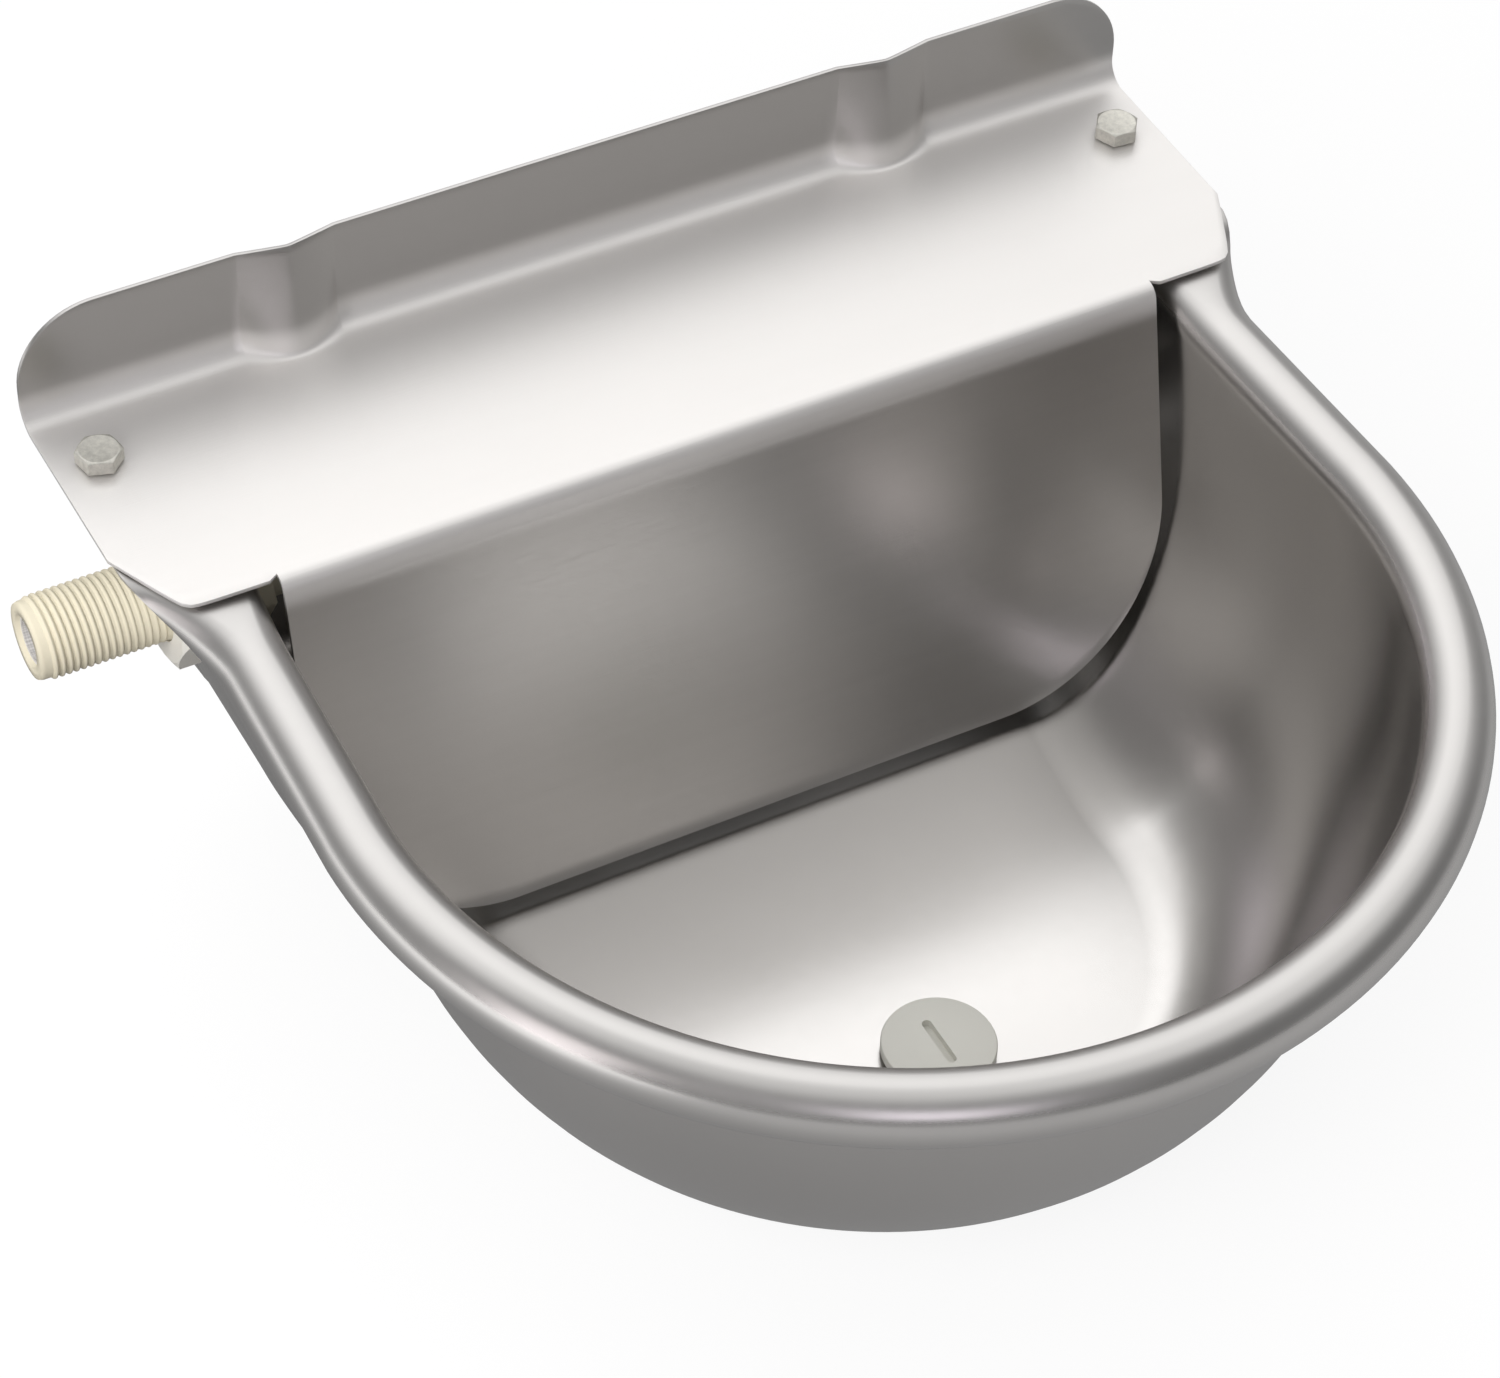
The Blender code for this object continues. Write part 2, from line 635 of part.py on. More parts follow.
def cover_columns():
    """Places along X where the cover's outline or its channels need points."""
    start = APRON_HALF_WIDTH - APRON_CORNER
    places = {share * start for share in COLUMN_SHARES}
    places.update(CHANNEL_SPACING / 2 + CHANNEL_WIDTH / 2 * share for share in CHANNEL_SHARES)
    inside = CHANNEL_SPACING / 2 + CHANNEL_WIDTH / 2
    for step in range(9):
        place = start + APRON_CORNER * math.sin(math.pi / 2 * step / 8)
        if place < CHANNEL_SPACING / 2 - CHANNEL_WIDTH / 2 or place > inside + CHANNEL_FOOT:
            places.add(place)
    wing = COVER_HALF_WIDTH - APRON_HALF_WIDTH
    wings = [APRON_HALF_WIDTH + wing * share for share in WING_SHARES]
    return sorted(places), wings


def cover_column(x, has_apron):
    """The cover's section at x: upstand, bend, plate and, in the middle, fold and apron."""
    share = channel_share(x, 1.0)
    face = COVER_FACE - CHANNEL_DEPTH * share
    bend = mix(COVER_BEND, CHANNEL_FOOT, share)
    top = upstand_top(x, COVER_HALF_WIDTH, UPSTAND_HEIGHT)
    points = []
    for part in UPSTAND_SHARES:
        pressed = CHANNEL_DEPTH * channel_share(x, part) * mix(CHANNEL_TOP_SHARE, 1.0, part)
        points.append((COVER_FACE - pressed, mix(top, bend, part)))
    for step in range(1, 4):
        angle = math.pi / 2 * step / 4
        points.append((face - bend * (1 - math.cos(angle)), bend * (1 - math.sin(angle))))
    start = face - bend
    front = -PLATE_LENGTH if has_apron else -wing_front(x)
    for part in PLATE_SHARES:
        along = mix(start, front, part)
        dip = FOOT_DIP * share * (1 - smooth_step((start - along) / FOOT_DIP_LENGTH))
        points.append((along, -dip))
    if not has_apron:
        return [Vector((x, y, z)) for y, z in points]
    turn = math.pi / 2 - APRON_LEAN
    for step in range(1, 4):
        angle = turn * step / 4
        points.append((front - FOLD_RADIUS * math.sin(angle), FOLD_RADIUS * (math.cos(angle) - 1)))
    fold_y = front - FOLD_RADIUS * math.sin(turn)
    fold_z = FOLD_RADIUS * (math.cos(turn) - 1)
    drop = apron_bottom(x) + fold_z
    for part in APRON_SHARES:
        down = drop * part
        points.append((fold_y - down * math.tan(APRON_LEAN), fold_z - down))
    return [Vector((x, y, z)) for y, z in points]


def make_cover(finish):
    """The splash cover: upstand with two channels, plate with wings, and the apron."""
    middle, wings = cover_columns()
    half = [cover_column(x, True) for x in middle] + [cover_column(x, False) for x in wings]
    mirrored = [[Vector((-point.x, point.y, point.z)) for point in column] for column in reversed(half[1:])]
    work = bmesh.new()
    grid = [[work.verts.new(point) for point in column] for column in mirrored + half]
    for here, there in zip(grid, grid[1:]):
        for row in range(min(len(here), len(there)) - 1):
            work.faces.new((here[row], there[row], there[row + 1], here[row + 1]))
    work.verts.ensure_lookup_table()
    plate_row = len(UPSTAND_SHARES) + 4
    face_up(work, grid[len(mirrored)][plate_row].link_faces[0])
    cover = thickened(add_object("splash_cover", work, finish))
    for side in (-1, 1):
        hole = ring_plug("cover_hole", BOLT_RADIUS + GAP, SHEET + 2 * OVERRUN, finish, SMALL_TURN_STEPS)
        cut(cover, at(hole, (side * BOLT_SPACING / 2, -BOLT_BACK, -SHEET - OVERRUN)))
    return cover


# Fasteners that hold the cover on the ears

def make_cover_fasteners(side, label, finish):
    """One hexagon bolt from above, with its washer and nut under the ear."""
    place = (side * BOLT_SPACING / 2, -BOLT_BACK, 0)
    bolt = chamfered_hexagon("cover_bolt_" + label, BOLT_FLATS, GAP, GAP + BOLT_HEAD, finish)
    shank = turned("bolt_shank", [(0, -BOLT_LENGTH), (BOLT_RADIUS, -BOLT_LENGTH),
                                  (BOLT_RADIUS, GAP + BOLT_HEAD / 2), (0, GAP + BOLT_HEAD / 2)],
                   finish, SMALL_TURN_STEPS)
    at(fuse(bolt, shank), place)
    washer_top = EAR_TOP - SHEET - GAP
    nut_top = washer_top - WASHER_THICK - GAP
    nut_low = nut_top - NUT_HEIGHT
    washer = ring("cover_washer_" + label, BOLT_RADIUS + GAP, WASHER_RADIUS, washer_top - WASHER_THICK,
                  washer_top, finish, SMALL_TURN_STEPS)
    at(washer, place)
    nut = chamfered_hexagon("cover_nut_" + label, BOLT_FLATS, nut_low, nut_top, finish, True)
    bore = ring_plug("nut_bore", BOLT_RADIUS + GAP, NUT_HEIGHT + 2 * OVERRUN, finish, SMALL_TURN_STEPS)
    cut(nut, at(bore, (0, 0, nut_low - OVERRUN)))
    at(nut, place)


# Inlet and float valve

def make_inlet_body(finish):
    """Threaded stem, flange, collar and barrel in one moulding, with the pivot cheeks."""
    end = -INLET_REACH
    profile = [(STEM_BORE, end), (THREAD_RADIUS - SHEET, end), (THREAD_RADIUS, end + SHEET),
               (THREAD_RADIUS, FLANGE_FACE), (FLANGE_RADIUS, FLANGE_FACE),
               (FLANGE_RADIUS, COLLAR_FACE), (BARREL_RADIUS, COLLAR_FACE),
               (BARREL_RADIUS, BARREL_END), (CHAMBER_RADIUS, BARREL_END),
               (CHAMBER_RADIUS, CHAMBER_FACE), (NOZZLE_RADIUS + GAP, CHAMBER_FACE),
               (NOZZLE_RADIUS + GAP, BULKHEAD_FACE), (STEM_BORE, BULKHEAD_FACE)]
    body = along_x(turned("inlet_body", profile, finish), (0, INLET_AXIS.y, INLET_AXIS.z))
    collar = prism("collar", COLLAR_FLATS, COLLAR_FACE - SHEET, BARREL_FACE, finish)
    core = ring_plug("collar_core", BARREL_RADIUS - SHEET, COLLAR_THICK + 2 * OVERRUN, finish)
    cut(collar, at(core, (0, 0, COLLAR_FACE - SHEET - OVERRUN / 2)))
    fuse(body, along_x(collar, (0, INLET_AXIS.y, INLET_AXIS.z)))
    for side in (-1, 1):
        fuse(body, make_cheek(side, finish))
    slot = block("arm_slot", (PIVOT.x - CHEEK_HALF_LENGTH - GAP, INLET_AXIS.y - ARM_SLOT, PIVOT.z),
                 (BARREL_END + OVERRUN, INLET_AXIS.y + ARM_SLOT, INLET_AXIS.z), finish)
    cut(body, slot)
    outlet_start = CHAMBER_FACE + GAP
    outlet = block("outlet_slot", (outlet_start, INLET_AXIS.y - OUTLET_WIDTH / 2, PIVOT.z),
                   (outlet_start + OUTLET_LENGTH, INLET_AXIS.y + OUTLET_WIDTH / 2, INLET_AXIS.z), finish)
    return cut(body, outlet)


def make_cheek(side, finish):
    """One of the two lugs that carry the pivot pin."""
    low = PIVOT.z - CHEEK_BELOW_PIN
    high = INLET_AXIS.z - BARREL_RADIUS * 0.6
    radius = CHEEK_HALF_LENGTH
    outline = [(-radius, high - PIVOT.z)]
    outline += arc((0, low - PIVOT.z + radius), radius, math.pi, math.tau, SMALL_TURN_STEPS // 2)
    outline += [(radius, high - PIVOT.z)]
    cheek = extruded("cheek", outline, CHEEK_THICK / 2, finish)
    bore = ring_plug("cheek_bore", PIN_RADIUS + GAP, CHEEK_THICK + 2 * OVERRUN, finish, SMALL_TURN_STEPS)
    cut(cheek, along_y(bore, (0, -CHEEK_THICK / 2 - OVERRUN, 0)))
    return at(cheek, PIVOT + Vector((0, side * (ARM_SLOT + CHEEK_THICK / 2), 0)))


def make_inlet_seals(soft, hard):
    """Rubber washers on both sides of the wall and the lock nut outside."""
    clear = THREAD_RADIUS + GAP
    axis_place = (0, INLET_AXIS.y, INLET_AXIS.z)
    inside = WALL_INSIDE + GAP
    along_x(ring("inner_gasket", clear, FLANGE_RADIUS, inside, inside + WASHER_SOFT, soft), axis_place)
    outside = WALL_OUTSIDE - GAP
    along_x(ring("outer_gasket", clear, FLANGE_RADIUS, outside - WASHER_SOFT, outside, soft), axis_place)
    nut_end = outside - WASHER_SOFT - GAP
    nut = chamfered_hexagon("inlet_lock_nut", LOCK_NUT_FLATS, nut_end - LOCK_NUT_THICK, nut_end, hard, True)
    bore = ring_plug("lock_nut_bore", clear, LOCK_NUT_THICK + 2 * OVERRUN, hard)
    at(bore, (0, 0, nut_end - LOCK_NUT_THICK - OVERRUN))
    cut(nut, bore)
    along_x(nut, axis_place)


def make_nozzle(finish, mesh_finish):
    """The nozzle pressed into the bulkhead and the strainer in the inlet's mouth."""
    axis_place = (0, INLET_AXIS.y, INLET_AXIS.z)
    seat = BULKHEAD_FACE - GAP
    start = seat - NOZZLE_FLANGE_THICK
    profile = [(NOZZLE_BORE, start), (NOZZLE_FLANGE, start), (NOZZLE_FLANGE, seat),
               (NOZZLE_RADIUS, seat), (NOZZLE_RADIUS, CHAMBER_FACE),
               (NOZZLE_TIP_RADIUS, NOZZLE_END), (NOZZLE_BORE, NOZZLE_END)]
    along_x(turned("valve_nozzle", profile, finish, SMALL_TURN_STEPS), axis_place)
    mouth = -INLET_REACH + STRAINER_SET_BACK
    deep = mouth + STRAINER_LENGTH
    outer = STEM_BORE - GAP
    inner = outer - STRAINER_WALL
    profile = [(0, deep), (0, deep - STRAINER_WALL), (inner, deep - STRAINER_WALL), (inner, mouth),
               (outer, mouth), (outer, deep)]
    cup = turned("inlet_strainer", profile[1:] + profile[:1], mesh_finish, SMALL_TURN_STEPS)
    along_x(cup, axis_place)


def make_piston(hard, soft):
    """The sliding piston, slotted for the arm's nose, and its rubber seal."""
    front = SEAL_FACE + SEAL_PROUD
    recess = SEAL_FACE + SEAL_THICK + GAP
    back = NOSE_PLACE + NOSE_RADIUS + GAP + PISTON_TAIL
    radius = CHAMBER_RADIUS - GAP
    profile = [(0, recess), (SEAL_RADIUS + GAP, recess), (SEAL_RADIUS + GAP, front), (radius, front),
               (radius, back), (0, back)]
    axis_place = Vector((0, INLET_AXIS.y, INLET_AXIS.z))
    piston = along_x(turned("valve_piston", profile, hard, SMALL_TURN_STEPS), axis_place)
    half = NOSE_RADIUS + GAP
    mouth = half + NOSE_SLOT_FLARE
    outline = [(-mouth, -radius - GAP), (mouth, -radius - GAP), (half, -half), (half, half),
               (-half, half), (-half, -half)]
    slot = extruded("nose_slot", outline, ARM_SLOT, hard)
    cut(piston, at(slot, (NOSE_PLACE, INLET_AXIS.y, INLET_AXIS.z)))
    disc = [(0, SEAL_FACE), (SEAL_RADIUS, SEAL_FACE), (SEAL_RADIUS, SEAL_FACE + SEAL_THICK),
            (0, SEAL_FACE + SEAL_THICK)]
    along_x(turned("piston_seal", disc, soft, SMALL_TURN_STEPS), axis_place)


def arm_outline():
    """Side view of the arm in its level position, from the pivot: nose, hub, strip and pad."""
    nose = math.pi / 2 + NOSE_LEAN
    tip = (PIVOT_DROP * math.cos(nose), PIVOT_DROP * math.sin(nose))
    low = FLOAT_ABOVE_PIVOT + FLOAT_HEIGHT / 2 + 2 * GAP
    high = low + PAD_THICK - GAP
    start = FLOAT_FROM_PIVOT - FLOAT_LENGTH / 2 - ARM_DEPTH
    rise = math.atan2(low, start)
    steps = SMALL_TURN_STEPS // 2
    outline = arc((0, 0), HUB_RADIUS, nose + NECK_SPREAD, math.tau + rise - math.pi / 2, steps)
    outline += [(start, low), (FLOAT_FROM_PIVOT, low), (FLOAT_FROM_PIVOT, high), (start - ARM_DEPTH / 2, high)]
    outline += [(HUB_RADIUS * math.cos(rise + math.pi / 4), HUB_RADIUS * math.sin(rise + math.pi / 4))]
    outline += [(HUB_RADIUS * math.cos(nose - NECK_SPREAD), HUB_RADIUS * math.sin(nose - NECK_SPREAD))]
    outline += arc(tip, NOSE_RADIUS, nose - NOSE_WRAP, nose + NOSE_WRAP, steps)
    return outline


def make_float_arm(frame, hard, foam, steel):
    """Arm, float, its screw and washer, built level and hung on the turned pivot frame."""
    arm = extruded("float_arm", arm_outline(), ARM_THICK / 2, hard)
    seat = FLOAT_ABOVE_PIVOT + FLOAT_HEIGHT / 2 + GAP
    pad = ring_plug("arm_pad", PAD_RADIUS, PAD_THICK, hard)
    fuse(arm, at(pad, (FLOAT_FROM_PIVOT, 0, seat)))
    through = PAD_THICK + 2 * OVERRUN
    hole = ring_plug("arm_screw_hole", FLOAT_SCREW_RADIUS + GAP, through, hard, SMALL_TURN_STEPS)
    cut(arm, at(hole, (FLOAT_FROM_PIVOT, 0, seat - OVERRUN)))
    bore = ring_plug("arm_bore", PIN_RADIUS + GAP, ARM_THICK + 2 * OVERRUN, hard, SMALL_TURN_STEPS)
    cut(arm, along_y(bore, (0, -ARM_THICK / 2 - OVERRUN, 0)))

    work = bmesh.new()
    bmesh.ops.create_cube(work, size=1)
    bmesh.ops.scale(work, verts=work.verts, vec=(FLOAT_LENGTH, FLOAT_WIDTH, FLOAT_HEIGHT))
    bmesh.ops.bevel(work, geom=list(work.edges), offset=FLOAT_CORNER, segments=3, profile=0.5,
                    affect='EDGES', clamp_overlap=True, material=-1)
    shift = INLET_BACK - FLOAT_BACK
    bmesh.ops.translate(work, verts=work.verts, vec=(FLOAT_FROM_PIVOT, shift, FLOAT_ABOVE_PIVOT))
    float_body = add_object("float", work, foam)
    blind = ring_plug("float_hole", FLOAT_SCREW_RADIUS + GAP, FLOAT_SCREW_LENGTH + OVERRUN, foam,
                      SMALL_TURN_STEPS)
    cut(float_body, at(blind, (FLOAT_FROM_PIVOT, 0, seat - FLOAT_SCREW_LENGTH)))

    washer_low = seat + PAD_THICK + GAP
    washer = ring("float_washer", FLOAT_SCREW_RADIUS + GAP, FLOAT_WASHER_RADIUS, washer_low,
                  washer_low + FLOAT_WASHER_THICK, steel, SMALL_TURN_STEPS)
    head = washer_low + FLOAT_WASHER_THICK + GAP
    tip = seat - FLOAT_SCREW_LENGTH + 2 * GAP
    crown = head + FLOAT_SCREW_HEAD_HEIGHT
    profile = [(0, tip), (FLOAT_SCREW_RADIUS, tip + FLOAT_SCREW_RADIUS), (FLOAT_SCREW_RADIUS, head),
               (FLOAT_SCREW_HEAD, head), (FLOAT_SCREW_HEAD, mix(head, crown, 0.5)),
               (FLOAT_SCREW_HEAD * 0.7, crown), (0, crown)]
    screw = turned("float_screw", profile, steel, SMALL_TURN_STEPS)
    for item in (washer, screw):
        item.location = (FLOAT_FROM_PIVOT, 0, 0)
    for item in (arm, pad, hole, bore, float_body, blind, washer, screw):
        item.parent = frame


def make_pivot(steel):
    """The pivot pin with its head, and the clip on its far end."""
    half = ARM_SLOT + CHEEK_THICK + GAP
    clip_start = half
    end = clip_start + CLIP_THICK + 2 * PIN_RADIUS / 2
    profile = [(0, -half - PIN_HEAD_THICK), (PIN_HEAD_RADIUS, -half - PIN_HEAD_THICK),
               (PIN_HEAD_RADIUS, -half), (PIN_RADIUS, -half), (PIN_RADIUS, end), (0, end)]
    along_y(turned("pivot_pin", profile, steel, SMALL_TURN_STEPS), PIVOT)
    clip = ring("pin_clip", PIN_RADIUS + GAP, CLIP_RADIUS, clip_start, clip_start + CLIP_THICK, steel,
                SMALL_TURN_STEPS)
    along_y(clip, PIVOT)


# Drain

def make_drain(hard, soft):
    """The slotted plug in the floor, its seal, and the washer and nut underneath."""
    place = (0, -DRAIN_BACK, 0)
    clear = PLUG_SHANK_RADIUS + GAP
    seal_low = FLOOR + GAP
    ring("drain_seal", clear, DRAIN_SEAL_RADIUS, seal_low, seal_low + DRAIN_SEAL_THICK, soft).location = place
    washer_top = FLOOR_UNDERSIDE - GAP
    ring("drain_washer", clear, DRAIN_WASHER_RADIUS, washer_top - DRAIN_WASHER_THICK, washer_top,
         soft).location = place
    nut_top = washer_top - DRAIN_WASHER_THICK - GAP
    nut = chamfered_hexagon("drain_nut", DRAIN_NUT_FLATS, nut_top - DRAIN_NUT_HEIGHT, nut_top, hard, True)
    bore = ring_plug("drain_nut_bore", clear, DRAIN_NUT_HEIGHT + 2 * OVERRUN, hard)
    at(bore, (0, 0, nut_top - DRAIN_NUT_HEIGHT - OVERRUN))
    cut(nut, bore)
    at(nut, place)
    head_low = seal_low + DRAIN_SEAL_THICK + GAP
    head_top = head_low + PLUG_HEAD_THICK
    tip = nut_top - DRAIN_NUT_HEIGHT - SHANK_BELOW_NUT
    edge = PLUG_HEAD_THICK / 6
    profile = [(0, tip), (PLUG_SHANK_RADIUS - SHEET, tip), (PLUG_SHANK_RADIUS, tip + SHEET),
               (PLUG_SHANK_RADIUS, head_low), (PLUG_HEAD_RADIUS, head_low),
               (PLUG_HEAD_RADIUS, head_top - edge), (PLUG_HEAD_RADIUS - edge, head_top), (0, head_top)]
    plug = at(turned("drain_plug", profile, hard, 2 * SMALL_TURN_STEPS), place)
    radius = PLUG_SLOT_WIDTH / 2
    run = PLUG_SLOT_LENGTH / 2 - radius
    outline = arc((0, run), radius, 0, math.pi, 6) + arc((0, -run), radius, math.pi, math.tau, 6)
    work = bmesh.new()
    work.faces.new([work.verts.new((x, y, head_top - PLUG_SLOT_DEPTH)) for x, y in outline])
    lifted = bmesh.ops.extrude_face_region(work, geom=list(work.faces))
    moved = [item for item in lifted["geom"] if isinstance(item, bmesh.types.BMVert)]
    bmesh.ops.translate(work, verts=moved, vec=(0, 0, PLUG_SLOT_DEPTH + OVERRUN))
    bmesh.ops.recalc_face_normals(work, faces=work.faces)
    return cut(plug, at(add_object("plug_slot", work, hard), place))


def main():
    clear_scene()
    steel = material("satin_stainless", (0.62, 0.61, 0.59), 1.0, 0.32)
    plated = material("plated_steel", (0.66, 0.64, 0.58), 1.0, 0.35)
    nylon = material("ivory_nylon", (0.78, 0.72, 0.56), 0.0, 0.45)
    clear_nylon = material("milky_nylon", (0.82, 0.80, 0.74), 0.0, 0.35)
    rubber = material("black_rubber", (0.04, 0.04, 0.04), 0.0, 0.70)
    silicone = material("milky_silicone", (0.80, 0.79, 0.75), 0.0, 0.50)
    white = material("white_polyethylene", (0.84, 0.84, 0.82), 0.0, 0.50)
    grey = material("warm_grey_plastic", (0.66, 0.65, 0.60), 0.0, 0.55)
    make_bowl(steel)
    make_cover(steel)
    for side, label in ((-1, "left"), (1, "right")):
        make_cover_fasteners(side, label, plated)
    make_inlet_body(nylon)
    make_inlet_seals(silicone, clear_nylon)
    make_nozzle(white, steel)
    make_piston(white, rubber)
    frame = bpy.data.objects.new("arm_frame", None)
    bpy.context.scene.collection.objects.link(frame)
    frame.location = PIVOT
    frame.rotation_euler = (0, FLOAT_TRAVEL, 0)
    make_float_arm(frame, nylon, white, steel)
    make_pivot(steel)
    make_drain(grey, rubber)


if __name__ == "__main__":
    main()
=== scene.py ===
"""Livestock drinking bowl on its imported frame: pressed stainless steel, moulded inlet, float valve."""

import math

import bmesh
import bpy
from mathutils import Matrix, Vector


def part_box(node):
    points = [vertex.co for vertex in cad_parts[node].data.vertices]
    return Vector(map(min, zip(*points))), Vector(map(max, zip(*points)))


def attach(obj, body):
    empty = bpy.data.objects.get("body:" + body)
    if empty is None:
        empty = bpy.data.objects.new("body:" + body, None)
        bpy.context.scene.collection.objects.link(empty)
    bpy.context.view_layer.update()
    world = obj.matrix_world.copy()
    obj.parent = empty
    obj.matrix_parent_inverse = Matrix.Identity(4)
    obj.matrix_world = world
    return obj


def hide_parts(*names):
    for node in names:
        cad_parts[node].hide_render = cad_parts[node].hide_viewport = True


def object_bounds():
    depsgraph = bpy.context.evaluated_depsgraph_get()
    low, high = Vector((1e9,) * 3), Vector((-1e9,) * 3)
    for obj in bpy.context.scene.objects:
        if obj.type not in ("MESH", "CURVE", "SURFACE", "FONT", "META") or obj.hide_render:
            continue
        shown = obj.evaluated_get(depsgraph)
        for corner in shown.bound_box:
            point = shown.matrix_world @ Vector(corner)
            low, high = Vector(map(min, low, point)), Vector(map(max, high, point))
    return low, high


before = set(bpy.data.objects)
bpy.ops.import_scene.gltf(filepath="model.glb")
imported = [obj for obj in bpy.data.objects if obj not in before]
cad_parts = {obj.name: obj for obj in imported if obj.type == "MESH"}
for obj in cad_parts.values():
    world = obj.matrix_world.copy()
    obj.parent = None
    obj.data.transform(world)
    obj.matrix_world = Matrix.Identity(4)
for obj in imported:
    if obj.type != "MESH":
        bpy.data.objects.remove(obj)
CAD_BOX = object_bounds()

bl_info = {
    "name": "Livestock Drinking Bowl",
    "version": (1, 0, 0),
    "blender": (4, 5, 0),
    "location": "3D View > Sidebar > Drinking Bowl",
    "description": "Builds a wall-mounted drinking bowl with its splash cover, inlet, float valve and drain",
    "category": "Add Mesh",
}

LEFT_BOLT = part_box("cover_bolt_left")
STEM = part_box("inlet_body")
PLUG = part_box("drain_plug")

# Places that several pieces share, in metres
STEM_LEVEL = -0.035
BOLT_X = 0.137
BOLT_Y = (LEFT_BOLT[0].y + LEFT_BOLT[1].y) / 2
BOLT_HOLE = 0.0033
# Points closer than this become one
MERGE = 0.00001


# Sizes and colours

class BowlSizes(bpy.types.PropertyGroup):
    """Sizes of the pressed bowl."""
    sheet: bpy.props.FloatProperty(
        name="Sheet", description="Thickness of the steel", default=0.001, min=0.0005, subtype='DISTANCE')
    front_centre: bpy.props.FloatProperty(
        name="Front Centre", description="Distance from the wall to the middle of the round front",
        default=0.15, subtype='DISTANCE')
    front_radius: bpy.props.FloatProperty(
        name="Front Radius", description="Radius of the round front at the rim", default=0.1216,
        subtype='DISTANCE')
    half_width: bpy.props.FloatProperty(
        name="Rear Half Width", description="Half the inner width at the back", default=0.1185,
        subtype='DISTANCE')
    depth: bpy.props.FloatProperty(
        name="Depth", description="From the cover's top down to the floor", default=0.109, subtype='DISTANCE')
    bead_radius: bpy.props.FloatProperty(
        name="Bead Radius", description="Outer radius of the rolled rim", default=0.0084, subtype='DISTANCE')
    bead_drop: bpy.props.FloatProperty(
        name="Bead Drop", description="Top of the rolled rim below the cover's top", default=0.003,
        subtype='DISTANCE')
    ear_half_width: bpy.props.FloatProperty(
        name="Ear Half Width", description="Half the width over both ears", default=0.147, subtype='DISTANCE')
    rear_sheet: bpy.props.FloatProperty(
        name="Rear Sheet", description="Height of the sheet behind the cover", default=0.024,
        subtype='DISTANCE')


class CoverSizes(bpy.types.PropertyGroup):
    """Sizes of the splash cover."""
    half_width: bpy.props.FloatProperty(
        name="Half Width", description="Half the width of the cover", default=0.148, subtype='DISTANCE')
    upstand: bpy.props.FloatProperty(
        name="Upstand", description="Height of the upstand", default=0.03, subtype='DISTANCE')
    plate: bpy.props.FloatProperty(
        name="Plate", description="From the wall to the fold", default=0.0745, subtype='DISTANCE')
    apron_half_width: bpy.props.FloatProperty(
        name="Apron Half Width", description="Half the width of the apron", default=0.1155,
        subtype='DISTANCE')
    apron_depth: bpy.props.FloatProperty(
        name="Apron Depth", description="From the plate to the apron's lower edge", default=0.1055,
        subtype='DISTANCE')
    apron_corner: bpy.props.FloatProperty(
        name="Apron Corner", description="Radius of the apron's lower corners", default=0.048,
        subtype='DISTANCE')
    channel_depth: bpy.props.FloatProperty(
        name="Channel Depth", description="How far the two channels stand forward at their foot",
        default=0.0065, subtype='DISTANCE')
    channel_top: bpy.props.FloatProperty(
        name="Channel Top", description="Share of that depth at the upstand's top edge", default=0.35,
        subtype='FACTOR')
    channel_width: bpy.props.FloatProperty(
        name="Channel Width", description="Width of each channel", default=0.0255, subtype='DISTANCE')


class PlasticSizes(bpy.types.PropertyGroup):
    """Sizes of the moulded pieces and the fasteners."""
    thread_pitch: bpy.props.FloatProperty(
        name="Thread Pitch", description="Pitch of the pipe thread", default=0.001814, precision=5,
        subtype='DISTANCE')
    thread_depth: bpy.props.FloatProperty(
        name="Thread Depth", description="Depth of the pipe thread", default=0.0007, precision=5,
        subtype='DISTANCE')
    bolt_flats: bpy.props.FloatProperty(
        name="Bolt Flats", description="Width of a bolt head across its flats", default=0.01,
        subtype='DISTANCE')


class BowlColours(bpy.types.PropertyGroup):
    """Colours of the finishes."""
    steel: bpy.props.FloatVectorProperty(
        name="Steel", description="Satin stainless steel", default=(0.63, 0.615, 0.60), size=3, min=0, max=1,
        subtype='COLOR')
    plated: bpy.props.FloatVectorProperty(
        name="Fasteners", description="Plated bolts, washers and nuts", default=(0.66, 0.645, 0.59), size=3,
        min=0, max=1, subtype='COLOR')
    ivory: bpy.props.FloatVectorProperty(
        name="Ivory Nylon", description="Inlet and valve", default=(0.95, 0.90, 0.77), size=3, min=0, max=1,
        subtype='COLOR')
    milky: bpy.props.FloatVectorProperty(
        name="Milky Nylon", description="Lock nut and gaskets", default=(0.80, 0.78, 0.72), size=3, min=0,
        max=1, subtype='COLOR')
    white: bpy.props.FloatVectorProperty(
        name="White Plastic", description="Float, nozzle and piston", default=(0.84, 0.84, 0.82), size=3,
        min=0, max=1, subtype='COLOR')
    grey: bpy.props.FloatVectorProperty(
        name="Grey Plastic", description="Drain plug and its nut", default=(0.90, 0.89, 0.84), size=3, min=0,
        max=1, subtype='COLOR')
    rubber: bpy.props.FloatVectorProperty(
        name="Rubber", description="Seals", default=(0.035, 0.035, 0.035), size=3, min=0, max=1,
        subtype='COLOR')
    floor: bpy.props.FloatVectorProperty(
        name="Floor", description="Floor around the bowl", default=(0.9, 0.9, 0.9), size=3, min=0, max=1,
        subtype='COLOR')


# Mesh helpers

# Rounding of a sheet's cut edges, in metres
CUT_EDGE = 0.00025


def mix(low, high, share):
    """The value at a share of the way from low to high."""
    return low + (high - low) * share


